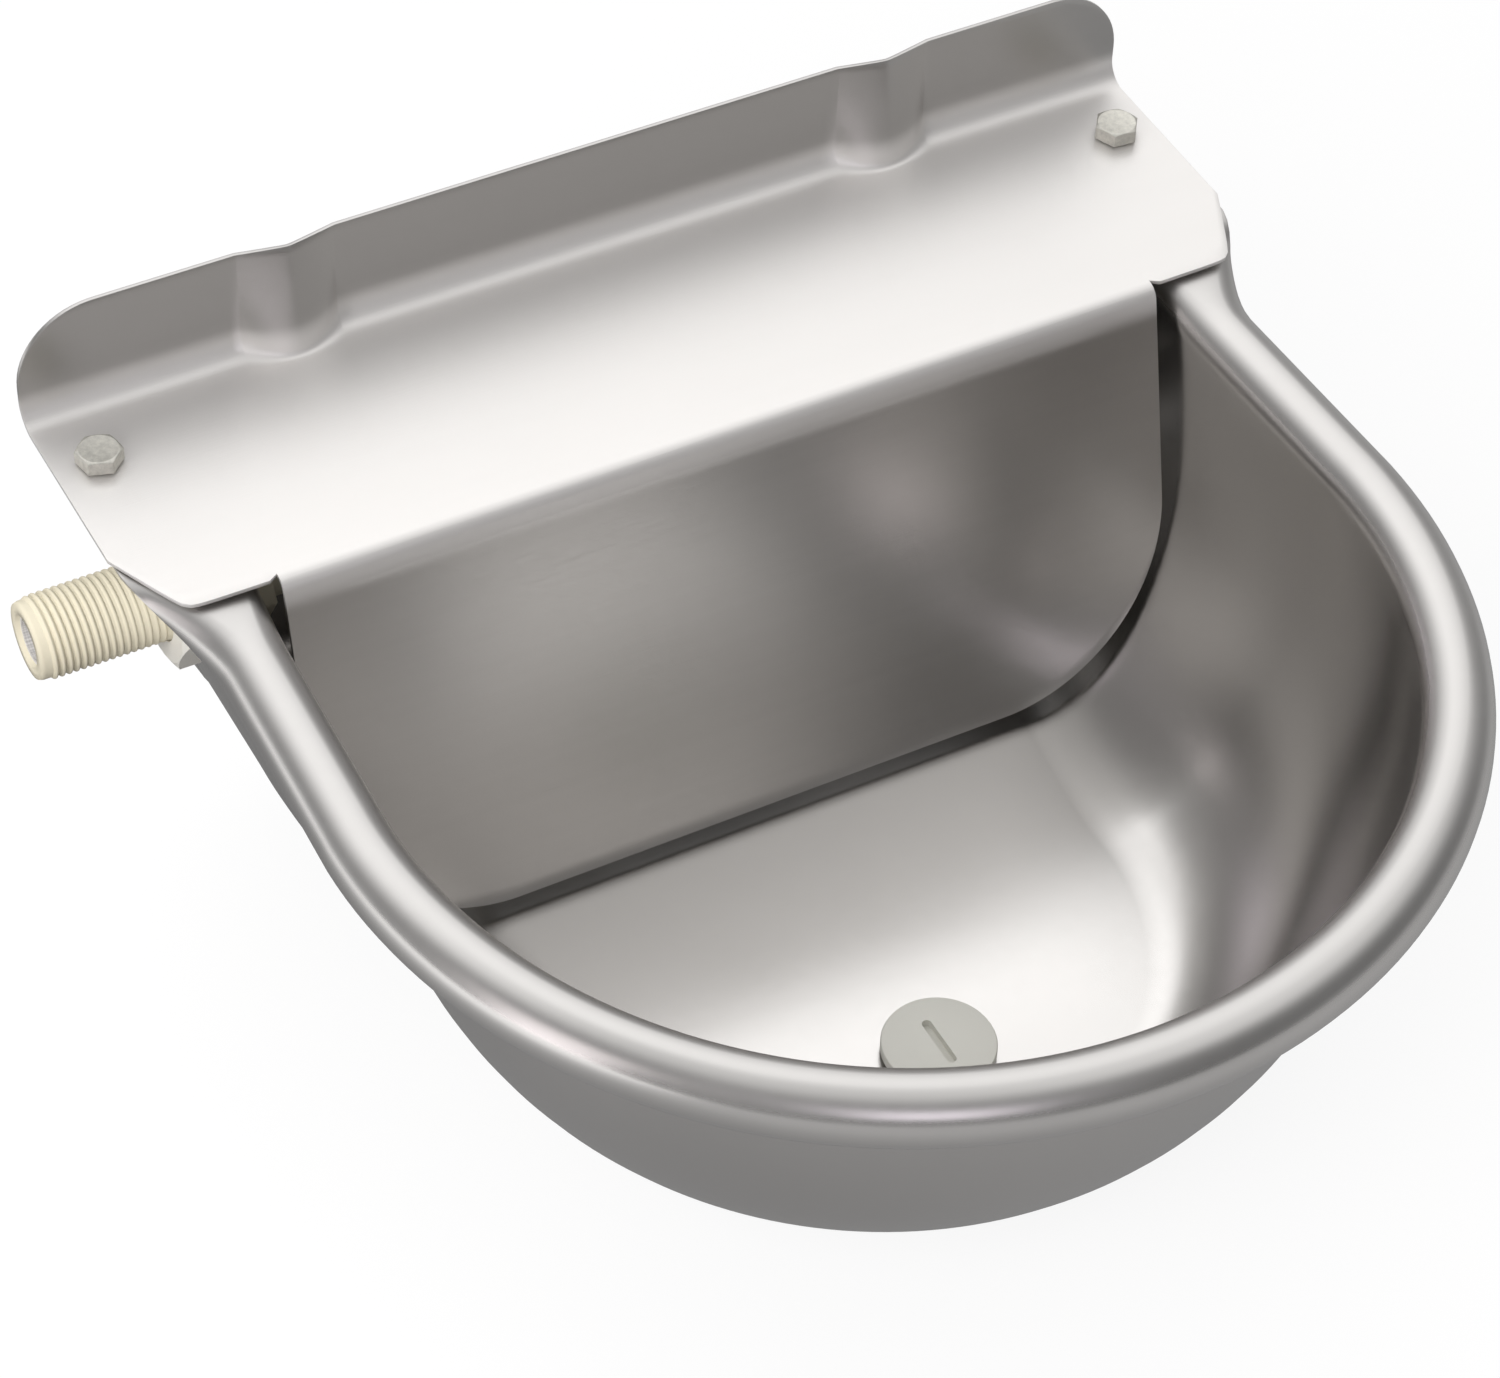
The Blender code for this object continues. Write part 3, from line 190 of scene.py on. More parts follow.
def smooth_step(value):
    """0 below 0, 1 above 1, and smooth between them."""
    value = min(max(value, 0.0), 1.0)
    return value * value * (3 - 2 * value)


def add_piece(name, work, finish, body, angle=35):
    """Finish a mesh as a smooth-shaded piece that rides on a body."""
    mesh = bpy.data.meshes.new(name)
    work.to_mesh(mesh)
    work.free()
    mesh.materials.append(finish)
    mesh.shade_smooth()
    mesh.set_sharp_from_angle(angle=math.radians(angle))
    piece = bpy.data.objects.new(name, mesh)
    bpy.context.scene.collection.objects.link(piece)
    if body:
        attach(piece, body)
    return piece


def mapped_grid(sections):
    """A grid sheet whose vertices lie on the given sections, made from one flat grid."""
    work = bmesh.new()
    across, along = len(sections), len(sections[0])
    bmesh.ops.create_grid(work, x_segments=across - 1, y_segments=along - 1, size=0.5)
    for vert in work.verts:
        column = round((vert.co.x + 0.5) * (across - 1))
        row = round((vert.co.y + 0.5) * (along - 1))
        vert.co = sections[column][row]
    return work


def turned(profile, steps):
    """A closed solid turned about +Z from (radius, height) points."""
    work = bmesh.new()
    points = [work.verts.new((radius, 0, height)) for radius, height in profile]
    edges = [work.edges.new(pair) for pair in zip(points, points[1:])]
    if profile[0][0] > 0 or profile[-1][0] > 0:
        edges.append(work.edges.new((points[-1], points[0])))
    bmesh.ops.spin(work, geom=points + edges, axis=(0, 0, 1), cent=(0, 0, 0), angle=math.tau, steps=steps,
                   use_merge=True)
    bmesh.ops.remove_doubles(work, verts=work.verts, dist=MERGE)
    bmesh.ops.recalc_face_normals(work, faces=work.faces)
    return work


def soften(work, width, angle):
    """Round every edge that is sharper than an angle in degrees."""
    sharp = [edge for edge in work.edges
             if edge.is_manifold and edge.calc_face_angle(0) > math.radians(angle)]
    bmesh.ops.bevel(work, geom=sharp, offset=width, segments=2, profile=0.5, affect='EDGES',
                    clamp_overlap=True, material=-1)


def temporary(work):
    """A mesh object used only as a tool."""
    mesh = bpy.data.meshes.new("tool")
    work.to_mesh(mesh)
    work.free()
    tool = bpy.data.objects.new("tool", mesh)
    bpy.context.scene.collection.objects.link(tool)
    return tool


def combined(work, tools, operation='DIFFERENCE'):
    """Cut, join or intersect a mesh with others and return the result as one mesh."""
    base = temporary(work)
    helpers = [temporary(tool) for tool in tools]
    for helper in helpers:
        step = base.modifiers.new("step", 'BOOLEAN')
        step.operation = operation
        step.solver = 'EXACT'
        step.object = helper
    graph = bpy.context.evaluated_depsgraph_get()
    result = bmesh.new()
    baked = bpy.data.meshes.new_from_object(base.evaluated_get(graph))
    result.from_mesh(baked)
    for item in [base] + helpers:
        bpy.data.objects.remove(item, do_unlink=True)
    return result


def placed(work, matrix):
    """Turn and shift a whole mesh."""
    bmesh.ops.transform(work, matrix=matrix, verts=work.verts)
    return work


def moved(work, x, y, z):
    return placed(work, Matrix.Translation((x, y, z)))


def laid_along_x(work, y, z):
    """Lay a mesh made along +Z onto +X at a height and depth."""
    return placed(work, Matrix.Translation((0, y, z)) @ Matrix.Rotation(math.radians(90), 4, 'Y'))


def mirror_skin(work, merge):
    """Complete the right half of a skin with its left half."""
    bmesh.ops.mirror(work, geom=work.verts[:] + work.edges[:] + work.faces[:], axis='X', merge_dist=merge)
    bmesh.ops.remove_doubles(work, verts=work.verts, dist=merge)


def take_in(work, other):
    """Add another mesh to this one."""
    mesh = bpy.data.meshes.new("other")
    other.to_mesh(mesh)
    other.free()
    work.from_mesh(mesh)
    bpy.data.meshes.remove(mesh)


def face_up(work, face):
    """Turn all faces so that the given one looks up."""
    bmesh.ops.recalc_face_normals(work, faces=work.faces)
    work.normal_update()
    if face.normal.z < 0:
        bmesh.ops.reverse_faces(work, faces=work.faces)
        work.normal_update()


def thick_sheet(work, thickness):
    """Give a skin its thickness below the side its faces show, and round its cut edges."""
    skin = temporary(work)
    step = skin.modifiers.new("sheet", 'SOLIDIFY')
    step.thickness = thickness
    step.offset = -1
    graph = bpy.context.evaluated_depsgraph_get()
    made = bmesh.new()
    made.from_mesh(bpy.data.meshes.new_from_object(skin.evaluated_get(graph)))
    bpy.data.objects.remove(skin, do_unlink=True)
    soften(made, CUT_EDGE, 60)
    return made


# Materials

# How fine the steel's faint clouds and specks are
CLOUD_SCALE = 14.0
SPECK_SCALE = 900.0
# How many times broader than the brushing its streaks are
STREAK_WIDTH = 12
# Squared distance from height 0 over which a rougher worn flat fades out, and on the cover also its painted
# light
WORN_AND_PAINTED_LIGHT_HEIGHT_SQUARED = (0.000004, 0.00008)
# Heights between which an upstand's colour is painted darker, as painted shade
PAINTED_SHADE_HEIGHT = (0.002, 0.012)


class Value:
    """A shader socket that sums can be written with."""

    def __init__(self, finish, socket):
        self.finish = finish
        self.socket = socket

    def _sum(self, operation, first, second):
        node = self.finish.node('ShaderNodeMath', {'operation': operation}, {0: first, 1: second})
        return Value(self.finish, node.outputs[0])

    def __add__(self, other):
        return self._sum('ADD', self, other)

    def __radd__(self, other):
        return self._sum('ADD', other, self)

    def __sub__(self, other):
        return self._sum('SUBTRACT', self, other)

    def __rsub__(self, other):
        return self._sum('SUBTRACT', other, self)

    def __mul__(self, other):
        return self._sum('MULTIPLY', self, other)

    def __rmul__(self, other):
        return self._sum('MULTIPLY', other, self)

    def __pow__(self, other):
        return self._sum('POWER', self, other)


class Finish:
    """One node-based material or world."""

    def __init__(self, name, kind='material'):
        store = bpy.data.materials if kind == 'material' else bpy.data.worlds
        self.block = store.new(name)
        self.block.use_nodes = True
        self.tree = self.block.node_tree
        self.shader = self.tree.nodes.get("Principled BSDF")

    def node(self, kind, settings=None, sockets=None):
        """Add a node: its settings first, then the values or links of its sockets."""
        made = self.tree.nodes.new(kind)
        for key, value in (settings or {}).items():
            setattr(made, key, value)
        for key, value in (sockets or {}).items():
            self.feed(made.inputs[key], value)
        return made

    def feed(self, socket, value):
        """Link a socket, or set it to a number, a colour or a vector."""
        if isinstance(value, Value):
            value = value.socket
        if isinstance(value, bpy.types.NodeSocket):
            self.tree.links.new(value, socket)
        else:
            socket.default_value = value

    def value(self, node, output):
        return Value(self, node.outputs[output])

    def place(self, scale=(1, 1, 1)):
        """Object coordinates, stretched."""
        where = self.node('ShaderNodeTexCoord')
        mapping = self.node('ShaderNodeMapping', sockets={'Vector': where.outputs['Object'], 'Scale': scale})
        return mapping.outputs[0]

    def noise(self, where, scale, detail, roughness):
        node = self.node('ShaderNodeTexNoise', sockets={
            'Vector': where, 'Scale': scale, 'Detail': detail, 'Roughness': roughness})
        return Value(self, node.outputs[0])

    def blend(self, factor, low, high):
        """Mix two colours."""
        node = self.node('ShaderNodeMix', {'data_type': 'RGBA'}, {0: factor, 6: low, 7: high})
        return node.outputs[2]

    def between(self, value, low, high):
        """0 below the first value, 1 above the second, and smooth between them."""
        node = self.node('ShaderNodeMapRange', {'interpolation_type': 'SMOOTHSTEP'}, {
            'Value': value, 'From Min': low, 'From Max': high})
        return Value(self, node.outputs[0])

    def along(self, where, direction):
        """Dot product of a vector with a fixed one."""
        node = self.node('ShaderNodeVectorMath', {'operation': 'DOT_PRODUCT'}, {0: where, 1: direction})
        return Value(self, node.outputs['Value'])

    def bump(self, height, distance, strength):
        node = self.node('ShaderNodeBump', sockets={
            'Height': height, 'Distance': distance, 'Strength': strength})
        self.feed(self.shader.inputs['Normal'], node.outputs[0])


def shade(colour, factor):
    """A colour made darker or lighter, with its alpha."""
    return (*(min(part * factor, 1.0) for part in colour), 1.0)


def satin_steel(name, colour, roughness, grain_scale, wear=0.0, dulled_and_painted_light=0.0, grain_depth=0.00003,
                grain_strength=0.3):
    """Satin sheet: fine brushing along one direction, faint clouds, and rougher worn flats near height 0.
    When dulled, those flats are also less metallic and painted lighter as painted light, and the raised
    upstand is painted darker as painted shade.
    """
    finish = Finish(name)
    brush = finish.noise(finish.place(grain_scale), 1.0, 3.0, 0.6)
    cloud = finish.noise(finish.place(), CLOUD_SCALE, 2.0, 0.5)
    speck = finish.noise(finish.place(), SPECK_SCALE, 1.0, 0.5)
    streak = finish.noise(finish.place([part / STREAK_WIDTH for part in grain_scale]), 1.0, 2.0, 0.5)
    tone = finish.blend(cloud * 0.5 + brush * 0.2 + streak * 0.3, shade(colour, 0.90), shade(colour, 1.04))
    finish.shader.inputs['Metallic'].default_value = 1.0
    rough = roughness - 0.07 + brush * 0.05 + cloud * 0.05 + streak * 0.04
    if wear:
        height = finish.along(finish.place(), (0, 0, 1))
        worn_and_painted_light = 1 - finish.between(height * height, *WORN_AND_PAINTED_LIGHT_HEIGHT_SQUARED)
        rough = rough + worn_and_painted_light * wear
        if dulled_and_painted_light:
            # Painted shade: the raised upstand's steel colour is made darker
            raised = finish.between(height, *PAINTED_SHADE_HEIGHT)
            tone = finish.blend(raised, tone, shade(colour, 0.82))
            # Painted light: the flats near height 0 are made lighter than the steel
            tone = finish.blend(worn_and_painted_light * 0.8, tone, shade(colour, 1.4))
            finish.feed(finish.shader.inputs['Metallic'], 1 - worn_and_painted_light * dulled_and_painted_light)
    finish.feed(finish.shader.inputs['Base Color'], tone)
    finish.feed(finish.shader.inputs['Roughness'], rough)
    finish.bump(brush * 0.8 + speck * 0.2, grain_depth, grain_strength)
    return finish.block


def zinc_plated(name, colour):
    """Dull zinc plating with a mottled, slightly pitted skin."""
    finish = Finish(name)
    where = finish.place()
    mottle = finish.noise(where, 700.0, 4.0, 0.65)
    tone = finish.blend(mottle, shade(colour, 0.6), shade(colour, 1.4))
    finish.feed(finish.shader.inputs['Base Color'], tone)
    finish.shader.inputs['Metallic'].default_value = 0.85
    finish.feed(finish.shader.inputs['Roughness'], 0.38 + mottle * 0.16)
    finish.bump(mottle, 0.00012, 0.5)
    return finish.block


def woven_wire(name, colour):
    """Fine stainless wire cloth: crossing bands of pale, dull wire."""
    finish = Finish(name)
    where = finish.place()
    bands = [finish.node('ShaderNodeTexWave', {'bands_direction': axis}, {'Vector': where, 'Scale': 500.0})
             for axis in ('X', 'Y', 'Z')]
    along_x, along_y, along_z = (finish.value(band, 'Fac') for band in bands)
    weave = (along_x + along_y + along_z) * 0.33
    tone = finish.blend(weave, shade(colour, 0.9), shade(colour, 1.5))
    finish.feed(finish.shader.inputs['Base Color'], tone)
    finish.shader.inputs['Metallic'].default_value = 0.3
    finish.feed(finish.shader.inputs['Roughness'], 0.5 + weave * 0.2)
    finish.bump(weave, 0.0001, 0.6)
    return finish.block


def moulded(name, colour, roughness, depth, through):
    """Moulded plastic: faint mottling, a fine moulded skin, and some light going through."""
    finish = Finish(name)
    where = finish.place()
    mottle = finish.noise(where, 120.0, 3.0, 0.6)
    skin = finish.noise(where, 2200.0, 2.0, 0.6)
    tone = finish.blend(mottle, shade(colour, 0.94), shade(colour, 1.06))
    finish.feed(finish.shader.inputs['Base Color'], tone)
    finish.feed(finish.shader.inputs['Roughness'], roughness - 0.05 + mottle * 0.1)
    finish.shader.inputs['Subsurface Weight'].default_value = through
    finish.shader.inputs['Subsurface Radius'].default_value = (0.004, 0.003, 0.002)
    finish.shader.inputs['Subsurface Scale'].default_value = 1.0
    finish.bump(skin, depth, 0.4)
    return finish.block


def rubber(name, colour):
    """Black rubber with a dull, slightly dusty skin."""
    finish = Finish(name)
    where = finish.place()
    dust = finish.noise(where, 300.0, 4.0, 0.7)
    tone = finish.blend(dust, shade(colour, 0.8), shade(colour, 1.8))
    finish.feed(finish.shader.inputs['Base Color'], tone)
    finish.feed(finish.shader.inputs['Roughness'], 0.6 + dust * 0.2)
    finish.bump(dust, 0.00004, 0.5)
    return finish.block


def finishes():
    """All finishes of the bowl, made once."""
    colours = bpy.context.scene.bowl_colours
    made = bpy.data.materials
    if "sheet_steel" not in made:
        # The cover's steel carries painted light on its flats and painted shade on its upstand
        satin_steel("sheet_steel", colours.steel, 0.30, (40, 3600, 3600), 0.16, 0.25, 0.00004, 1.0)
        satin_steel("pressed_steel", colours.steel, 0.22, (300, 300, 60), 0.16)
        zinc_plated("plated_steel", colours.plated)
        satin_steel("bright_steel", colours.steel, 0.28, (600, 600, 600))
        moulded("ivory_nylon", colours.ivory, 0.42, 0.00006, 0.8)
        moulded("milky_nylon", colours.milky, 0.38, 0.00005, 0.25)
        moulded("milky_silicone", colours.milky, 0.55, 0.00005, 0.15)
        moulded("white_plastic", colours.white, 0.48, 0.00006, 0.05)
        moulded("grey_plastic", colours.grey, 0.5, 0.00006, 0.0)
        rubber("black_rubber", colours.rubber)
        woven_wire("wire_cloth", colours.steel)
    return made


# Bowl: lengths in metres, angles in radians

BACK_LEDGE = 0.009
BACK_CORNER = 0.010
PARALLEL_LENGTH = 0.060
SWEEP_RUN = 0.0528
UPRIGHT_DEPTH = 0.058
UPRIGHT_RUN = 0.044
UPRIGHT_SHARE = 2 / 7
BACK_FILLET = 0.024
EAR_LENGTH = 0.057
EAR_BLEND = 0.035
EAR_ROOT = 0.0035
EAR_EDGE_RUN = 0.006
EAR_TOP = -0.0013
LEDGE_DROP = 0.006
LEDGE_HALF_WIDTH = 0.095
LEDGE_BLEND = 0.025
BEND = 0.005
UPSTAND_CORNER = 0.020
RIM_STEP = math.radians(7.5)
LIP_ANGLE = math.radians(-52)
BOWL_MERGE = 0.00002
STEM_HOLE = 0.0107
DRAIN_HOLE = 0.0083
DRAIN_Y = -0.1872
WALL_SLOT = (0.0084, 0.006, 0.013)
WALL_SLOT_ROUNDING = 0.00418
WALL_SLOT_X = 0.08
WALL_SLOT_Z = 0.015
# Rows of a section, from the floor outwards
WALL_ROWS = 20
ROOT_ROWS = 10
EDGE_ROWS = 14
BEND_ROWS = 7
# Sections along the rim, from the middle of the back to the middle of the front
BACK_STEPS = 8
CORNER_SHARES = (0.12, 0.25, 0.38, 0.50, 0.61, 0.71, 0.79, 0.86, 0.91, 0.95, 0.98, 1.0)
BEND_SHARES = (0.9, 0.7, 0.4, 0.0)
SIDE_STEPS = 44
FRONT_STEPS = 48


def rim_half_width(sizes, back):
    """Half the inner width at the rim, at a distance from the wall."""
    share = (back - PARALLEL_LENGTH) / (sizes.front_centre - PARALLEL_LENGTH)
    return mix(sizes.half_width, sizes.front_radius, min(max(share, 0.0), 1.0))


def rim_level(sizes):
    """Height of the middle of the rolled rim."""
    return -(sizes.bead_drop + sizes.bead_radius)


def swept_wall(sizes, share):
    """Inset and height of the rounded front wall, from rim to floor."""
    angle = share * math.pi / 2
    return SWEEP_RUN * (1 - math.cos(angle)), mix(rim_level(sizes), -sizes.depth, math.sin(angle))


def upright_wall(sizes, share, run, straight):
    """Inset and height of a wall that stands straight, then turns into the floor."""
    if share <= UPRIGHT_SHARE:
        return 0.0, mix(rim_level(sizes), -straight, share / UPRIGHT_SHARE)
    angle = (share - UPRIGHT_SHARE) / (1 - UPRIGHT_SHARE) * math.pi / 2
    return run * (1 - math.cos(angle)), mix(-straight, -sizes.depth, math.sin(angle))


def side_wall(sizes, back_share, share):
    """A point of the side wall, whose section changes from upright behind to swept in front."""
    corner_back = sizes.sheet + BACK_LEDGE + BACK_CORNER
    back = mix(corner_back, sizes.front_centre, back_share)
    sweep = smooth_step((back - PARALLEL_LENGTH) / (sizes.front_centre - PARALLEL_LENGTH))
    upright = upright_wall(sizes, share, UPRIGHT_RUN, UPRIGHT_DEPTH)
    swept = swept_wall(sizes, share)
    back_inset = upright_wall(sizes, share, BACK_FILLET, sizes.depth - BACK_FILLET)[0]
    low_back = mix(corner_back + back_inset, sizes.front_centre, back_share)
    inset = mix(upright[0], swept[0], sweep)
    return Vector((rim_half_width(sizes, back) - inset, -low_back, mix(upright[1], swept[1], sweep)))


def corner_wall(sizes, turn_share, share):
    """A point of the rear corner; a turn of 0 is the back wall and 1 the side wall."""
    side_inset, side_height = upright_wall(sizes, share, UPRIGHT_RUN, UPRIGHT_DEPTH)
    back_inset, back_height = upright_wall(sizes, share, BACK_FILLET, sizes.depth - BACK_FILLET)
    angle = (1 - turn_share) * math.pi / 2
    centre_x = sizes.half_width - side_inset - BACK_CORNER
    centre_y = -(sizes.sheet + BACK_LEDGE) - back_inset - BACK_CORNER
    return Vector((centre_x + BACK_CORNER * math.cos(angle), centre_y + BACK_CORNER * math.sin(angle),
                   mix(back_height, side_height, turn_share)))


def front_wall(sizes, angle, share):
    """A point of the round front wall."""
    inset, height = swept_wall(sizes, share)
    radius = sizes.front_radius - inset
    return Vector((radius * math.cos(angle), -sizes.front_centre - radius * math.sin(angle), height))


def upstand_top(x, half_width, height):
    """Top edge of a sheet with rounded upper corners."""
    over = min(max(abs(x) - (half_width - UPSTAND_CORNER), 0.0), UPSTAND_CORNER)
    return height - UPSTAND_CORNER + math.sqrt(UPSTAND_CORNER ** 2 - over ** 2)


def rim_reach(sizes, back):
    """How far the rim reaches out from the wall, and how much of it is bead."""
    bead = smooth_step((back - EAR_LENGTH) / EAR_BLEND)
    return mix(sizes.ear_half_width - rim_half_width(sizes, back), 2 * sizes.bead_radius, bead), bead


def ear_lift(sizes, y):
    """How far the bend at the wall lifts the sheet."""
    over = min(max(y + sizes.sheet + BEND, 0.0), BEND)
    return BEND - math.sqrt(BEND ** 2 - over ** 2)


def rim_root(root, top):
    """Out and up distances of the curve from the wall onto the rim."""
    points = []
    for index in range(1, ROOT_ROWS + 1):
        angle = math.pi - RIM_STEP * index
        points.append((root + root * math.cos(angle), top - root + root * math.sin(angle)))
    return points


def rim_section(sizes, foot, heading, reach, bead):
    """The rim over one point of the wall: up, over and down to the lip."""
    profile = rim_root(mix(EAR_ROOT, sizes.bead_radius, bead), mix(EAR_TOP, -sizes.bead_drop, bead))
    for index in range(EDGE_ROWS):
        share = index / (EDGE_ROWS - 1)
        angle = mix(math.pi / 2 - RIM_STEP, LIP_ANGLE, share)
        out = reach - sizes.bead_radius + sizes.bead_radius * math.cos(angle)
        up = rim_level(sizes) + sizes.bead_radius * math.sin(angle)
        flat = reach - EAR_EDGE_RUN * (1 - share)
        profile.append((mix(flat, out, bead), mix(EAR_TOP, up, bead)))
    points = [Vector((foot.x + heading.x * out, foot.y + heading.y * out, up)) for out, up in profile]
    for point in points:
        point.z += ear_lift(sizes, point.y)
    return points


def upstand_section(sizes, foot, edge_x):
    """The sheet behind the cover: up, back to the wall plane, and up again."""
    away = Vector((edge_x - foot.x, -sizes.sheet - foot.y))
    heading = away.normalized()
    top = EAR_TOP - LEDGE_DROP * (1 - smooth_step((edge_x - LEDGE_HALF_WIDTH) / LEDGE_BLEND))
    profile = rim_root(EAR_ROOT, top)
    for index in range(BEND_ROWS):
        y = -sizes.sheet - BEND * (1 - math.sin(math.pi / 2 * index / (BEND_ROWS - 1)))
        profile.append(((y - foot.y) / heading.y, top + ear_lift(sizes, y)))
    height = upstand_top(edge_x, sizes.ear_half_width, sizes.rear_sheet)
    if edge_x >= sizes.ear_half_width:
        height = top + BEND + sizes.sheet
    tail = EDGE_ROWS - BEND_ROWS
    for index in range(1, tail + 1):
        profile.append((away.length, mix(top + BEND, height, index / tail)))
    return [Vector((foot.x + heading.x * out, foot.y + heading.y * out, up)) for out, up in profile]


def bowl_sections(sizes):
    """Sections of the right half, from the middle of the back to the middle of the front."""
    shares = [index / WALL_ROWS for index in range(WALL_ROWS, -1, -1)]
    sections = []
    for step in range(BACK_STEPS + 1):
        inside = [corner_wall(sizes, 0.0, share) for share in shares]
        inside = [Vector((point.x * step / BACK_STEPS, point.y, point.z)) for point in inside]
        sections.append(inside + upstand_section(sizes, inside[-1], inside[-1].x))
    turns = len(CORNER_SHARES) + len(BEND_SHARES)
    for step, edge_share in enumerate(CORNER_SHARES, 1):
        inside = [corner_wall(sizes, step / turns, share) for share in shares]
        edge_x = mix(sizes.half_width - BACK_CORNER, sizes.ear_half_width, edge_share)
        sections.append(inside + upstand_section(sizes, inside[-1], edge_x))
    for step, bend_share in enumerate(BEND_SHARES, 1 + len(CORNER_SHARES)):
        inside = [corner_wall(sizes, step / turns, share) for share in shares]
        edge = Vector((sizes.ear_half_width, -sizes.sheet - BEND * (1 - bend_share)))
        away = edge - inside[-1].xy
        sections.append(inside + rim_section(sizes, inside[-1], away.normalized(), away.length, 0.0))
    for step in range(SIDE_STEPS):
        inside = [side_wall(sizes, step / SIDE_STEPS, share) for share in shares]
        reach, bead = rim_reach(sizes, -inside[-1].y)
        sections.append(inside + rim_section(sizes, inside[-1], Vector((1, 0)), reach, bead))
    for step in range(FRONT_STEPS + 1):
        angle = step / FRONT_STEPS * math.pi / 2
        inside = [front_wall(sizes, angle, share) for share in shares]
        outward = Vector((math.cos(angle), -math.sin(angle)))
        sections.append(inside + rim_section(sizes, inside[-1], outward, 2 * sizes.bead_radius, 1.0))
    return sections


def round_hole(radius, x, y, z, axis='Z'):
    """A round cutter that stands out on both sides of a sheet."""
    reach = 0.004
    cutter = turned([(0, -reach), (radius, -reach), (radius, reach), (0, reach)], 48)
    turn = Matrix.Rotation(math.radians(90), 4, 'Y') if axis == 'X' else Matrix.Identity(4)
    return placed(cutter, Matrix.Translation((x, y, z)) @ turn)


def long_hole(size, rounding, along, segments):
    """A box-shaped cutter whose edges along one axis, 0 to 2, are rounded."""
    cutter = bmesh.new()
    bmesh.ops.create_cube(cutter, size=1)
    bmesh.ops.scale(cutter, verts=cutter.verts, vec=size)
    upright = [edge for edge in cutter.edges
               if abs(edge.verts[0].co[along] - edge.verts[1].co[along]) > size[along] / 2]
    bmesh.ops.bevel(cutter, geom=upright, offset=rounding, segments=segments, profile=0.5, affect='EDGES',
                    clamp_overlap=True, material=-1)
    return cutter


class BOWL_OT_shell(bpy.types.Operator):
    """Pressed bowl with its rolled rim, ears and rear upstand"""
    bl_idname = "bowl.shell"
    bl_label = "Bowl Shell"

    def execute(self, context):
        sizes = context.scene.bowl_sizes
        work = mapped_grid(bowl_sections(sizes))
        mirror_skin(work, BOWL_MERGE)
        floor_edge = [item for item in work.edges if item.is_boundary
                      and all(abs(vert.co.z + sizes.depth) < 0.0001 for vert in item.verts)]
        bmesh.ops.contextual_create(work, geom=floor_edge)
        face_up(work, max(work.faces, key=lambda face: face.calc_area()))
        solid = thick_sheet(work, sizes.sheet)
        stem_y = (STEM[0].y + STEM[1].y) / 2
        holes = [round_hole(STEM_HOLE, -sizes.half_width, stem_y, STEM_LEVEL, 'X'),
                 round_hole(DRAIN_HOLE, 0, DRAIN_Y, -sizes.depth)]
        for side in (-1, 1):
            holes.append(round_hole(BOLT_HOLE, side * BOLT_X, BOLT_Y, EAR_TOP))
            slot = long_hole(WALL_SLOT, WALL_SLOT_ROUNDING, 1, 8)
            holes.append(moved(slot, side * WALL_SLOT_X, -sizes.sheet, WALL_SLOT_Z))
        solid = combined(solid, holes)
        piece = add_piece("pressed_bowl", solid, finishes()["pressed_steel"], "bowl", 50)
        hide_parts("bowl_shell")
        return {'FINISHED'}


# Splash cover: lengths in metres, angles in radians

COVER_SHEET = 0.001
COVER_FACE = 0.0023
COVER_BEND = 0.006
FOLD_RADIUS = 0.004
APRON_LEAN = math.radians(12.9)
CHANNEL_PLACE = 0.080
CHANNEL_FOOT = 0.0018
# How round the ridge is at the channel's foot, and how its flanks rise at the top edge
RIDGE_ROUND = 0.09
CHANNEL_RISE = 1.9
WING_LENGTH = 0.076
WING_TIP = 0.138
WING_KINK = 0.054
WING_CORNER = 0.003
# Rows of a section, from the upstand's top to the apron's lower edge
UPSTAND_ROWS = 12
BEND_STEPS = 8
PLATE_ROWS = 22
APRON_ROWS = 24
# Rows that the apron part and the wings have in common
SHARED_ROWS = UPSTAND_ROWS + BEND_STEPS + PLATE_ROWS + 1
# Sections along X: up to the channel, over it, to the apron's side, and over the wing
INNER_STEPS = 16
CHANNEL_STEPS = 40
OUTER_STEPS = 16
WING_STEPS = 22


def channel_share(sizes, x, down_share):
    """Share of the channel's depth at x: two flat faces and a narrow ridge above, a round U below."""
    off = min(abs(abs(x) - CHANNEL_PLACE) / (sizes.channel_width / 2), 1.0)
    ridge = math.sqrt(off * off + RIDGE_ROUND ** 2) - RIDGE_ROUND * (1 - off)
    ridge /= math.sqrt(1 + RIDGE_ROUND ** 2)
    return 1 - mix(ridge, off ** CHANNEL_RISE, smooth_step(down_share * 1.15 - 0.15)) ** 1.02


def wing_front(sizes, x):
    """Distance from the wall to the wing's front edge, which turns softly into its slanting corner."""
    slope = (WING_LENGTH - WING_KINK) / (sizes.half_width - WING_TIP)
    chamfer = WING_LENGTH - (abs(x) - WING_TIP) * slope
    gap = math.hypot(WING_LENGTH - chamfer, WING_CORNER)
    return (WING_LENGTH + chamfer - gap) / 2


def apron_bottom(sizes, x):
    """Depth of the apron's lower edge, with its rounded corners."""
    over = max(abs(x) - (sizes.apron_half_width - sizes.apron_corner), 0.0)
    return sizes.apron_depth - sizes.apron_corner + math.sqrt(max(sizes.apron_corner ** 2 - over ** 2, 0.0))


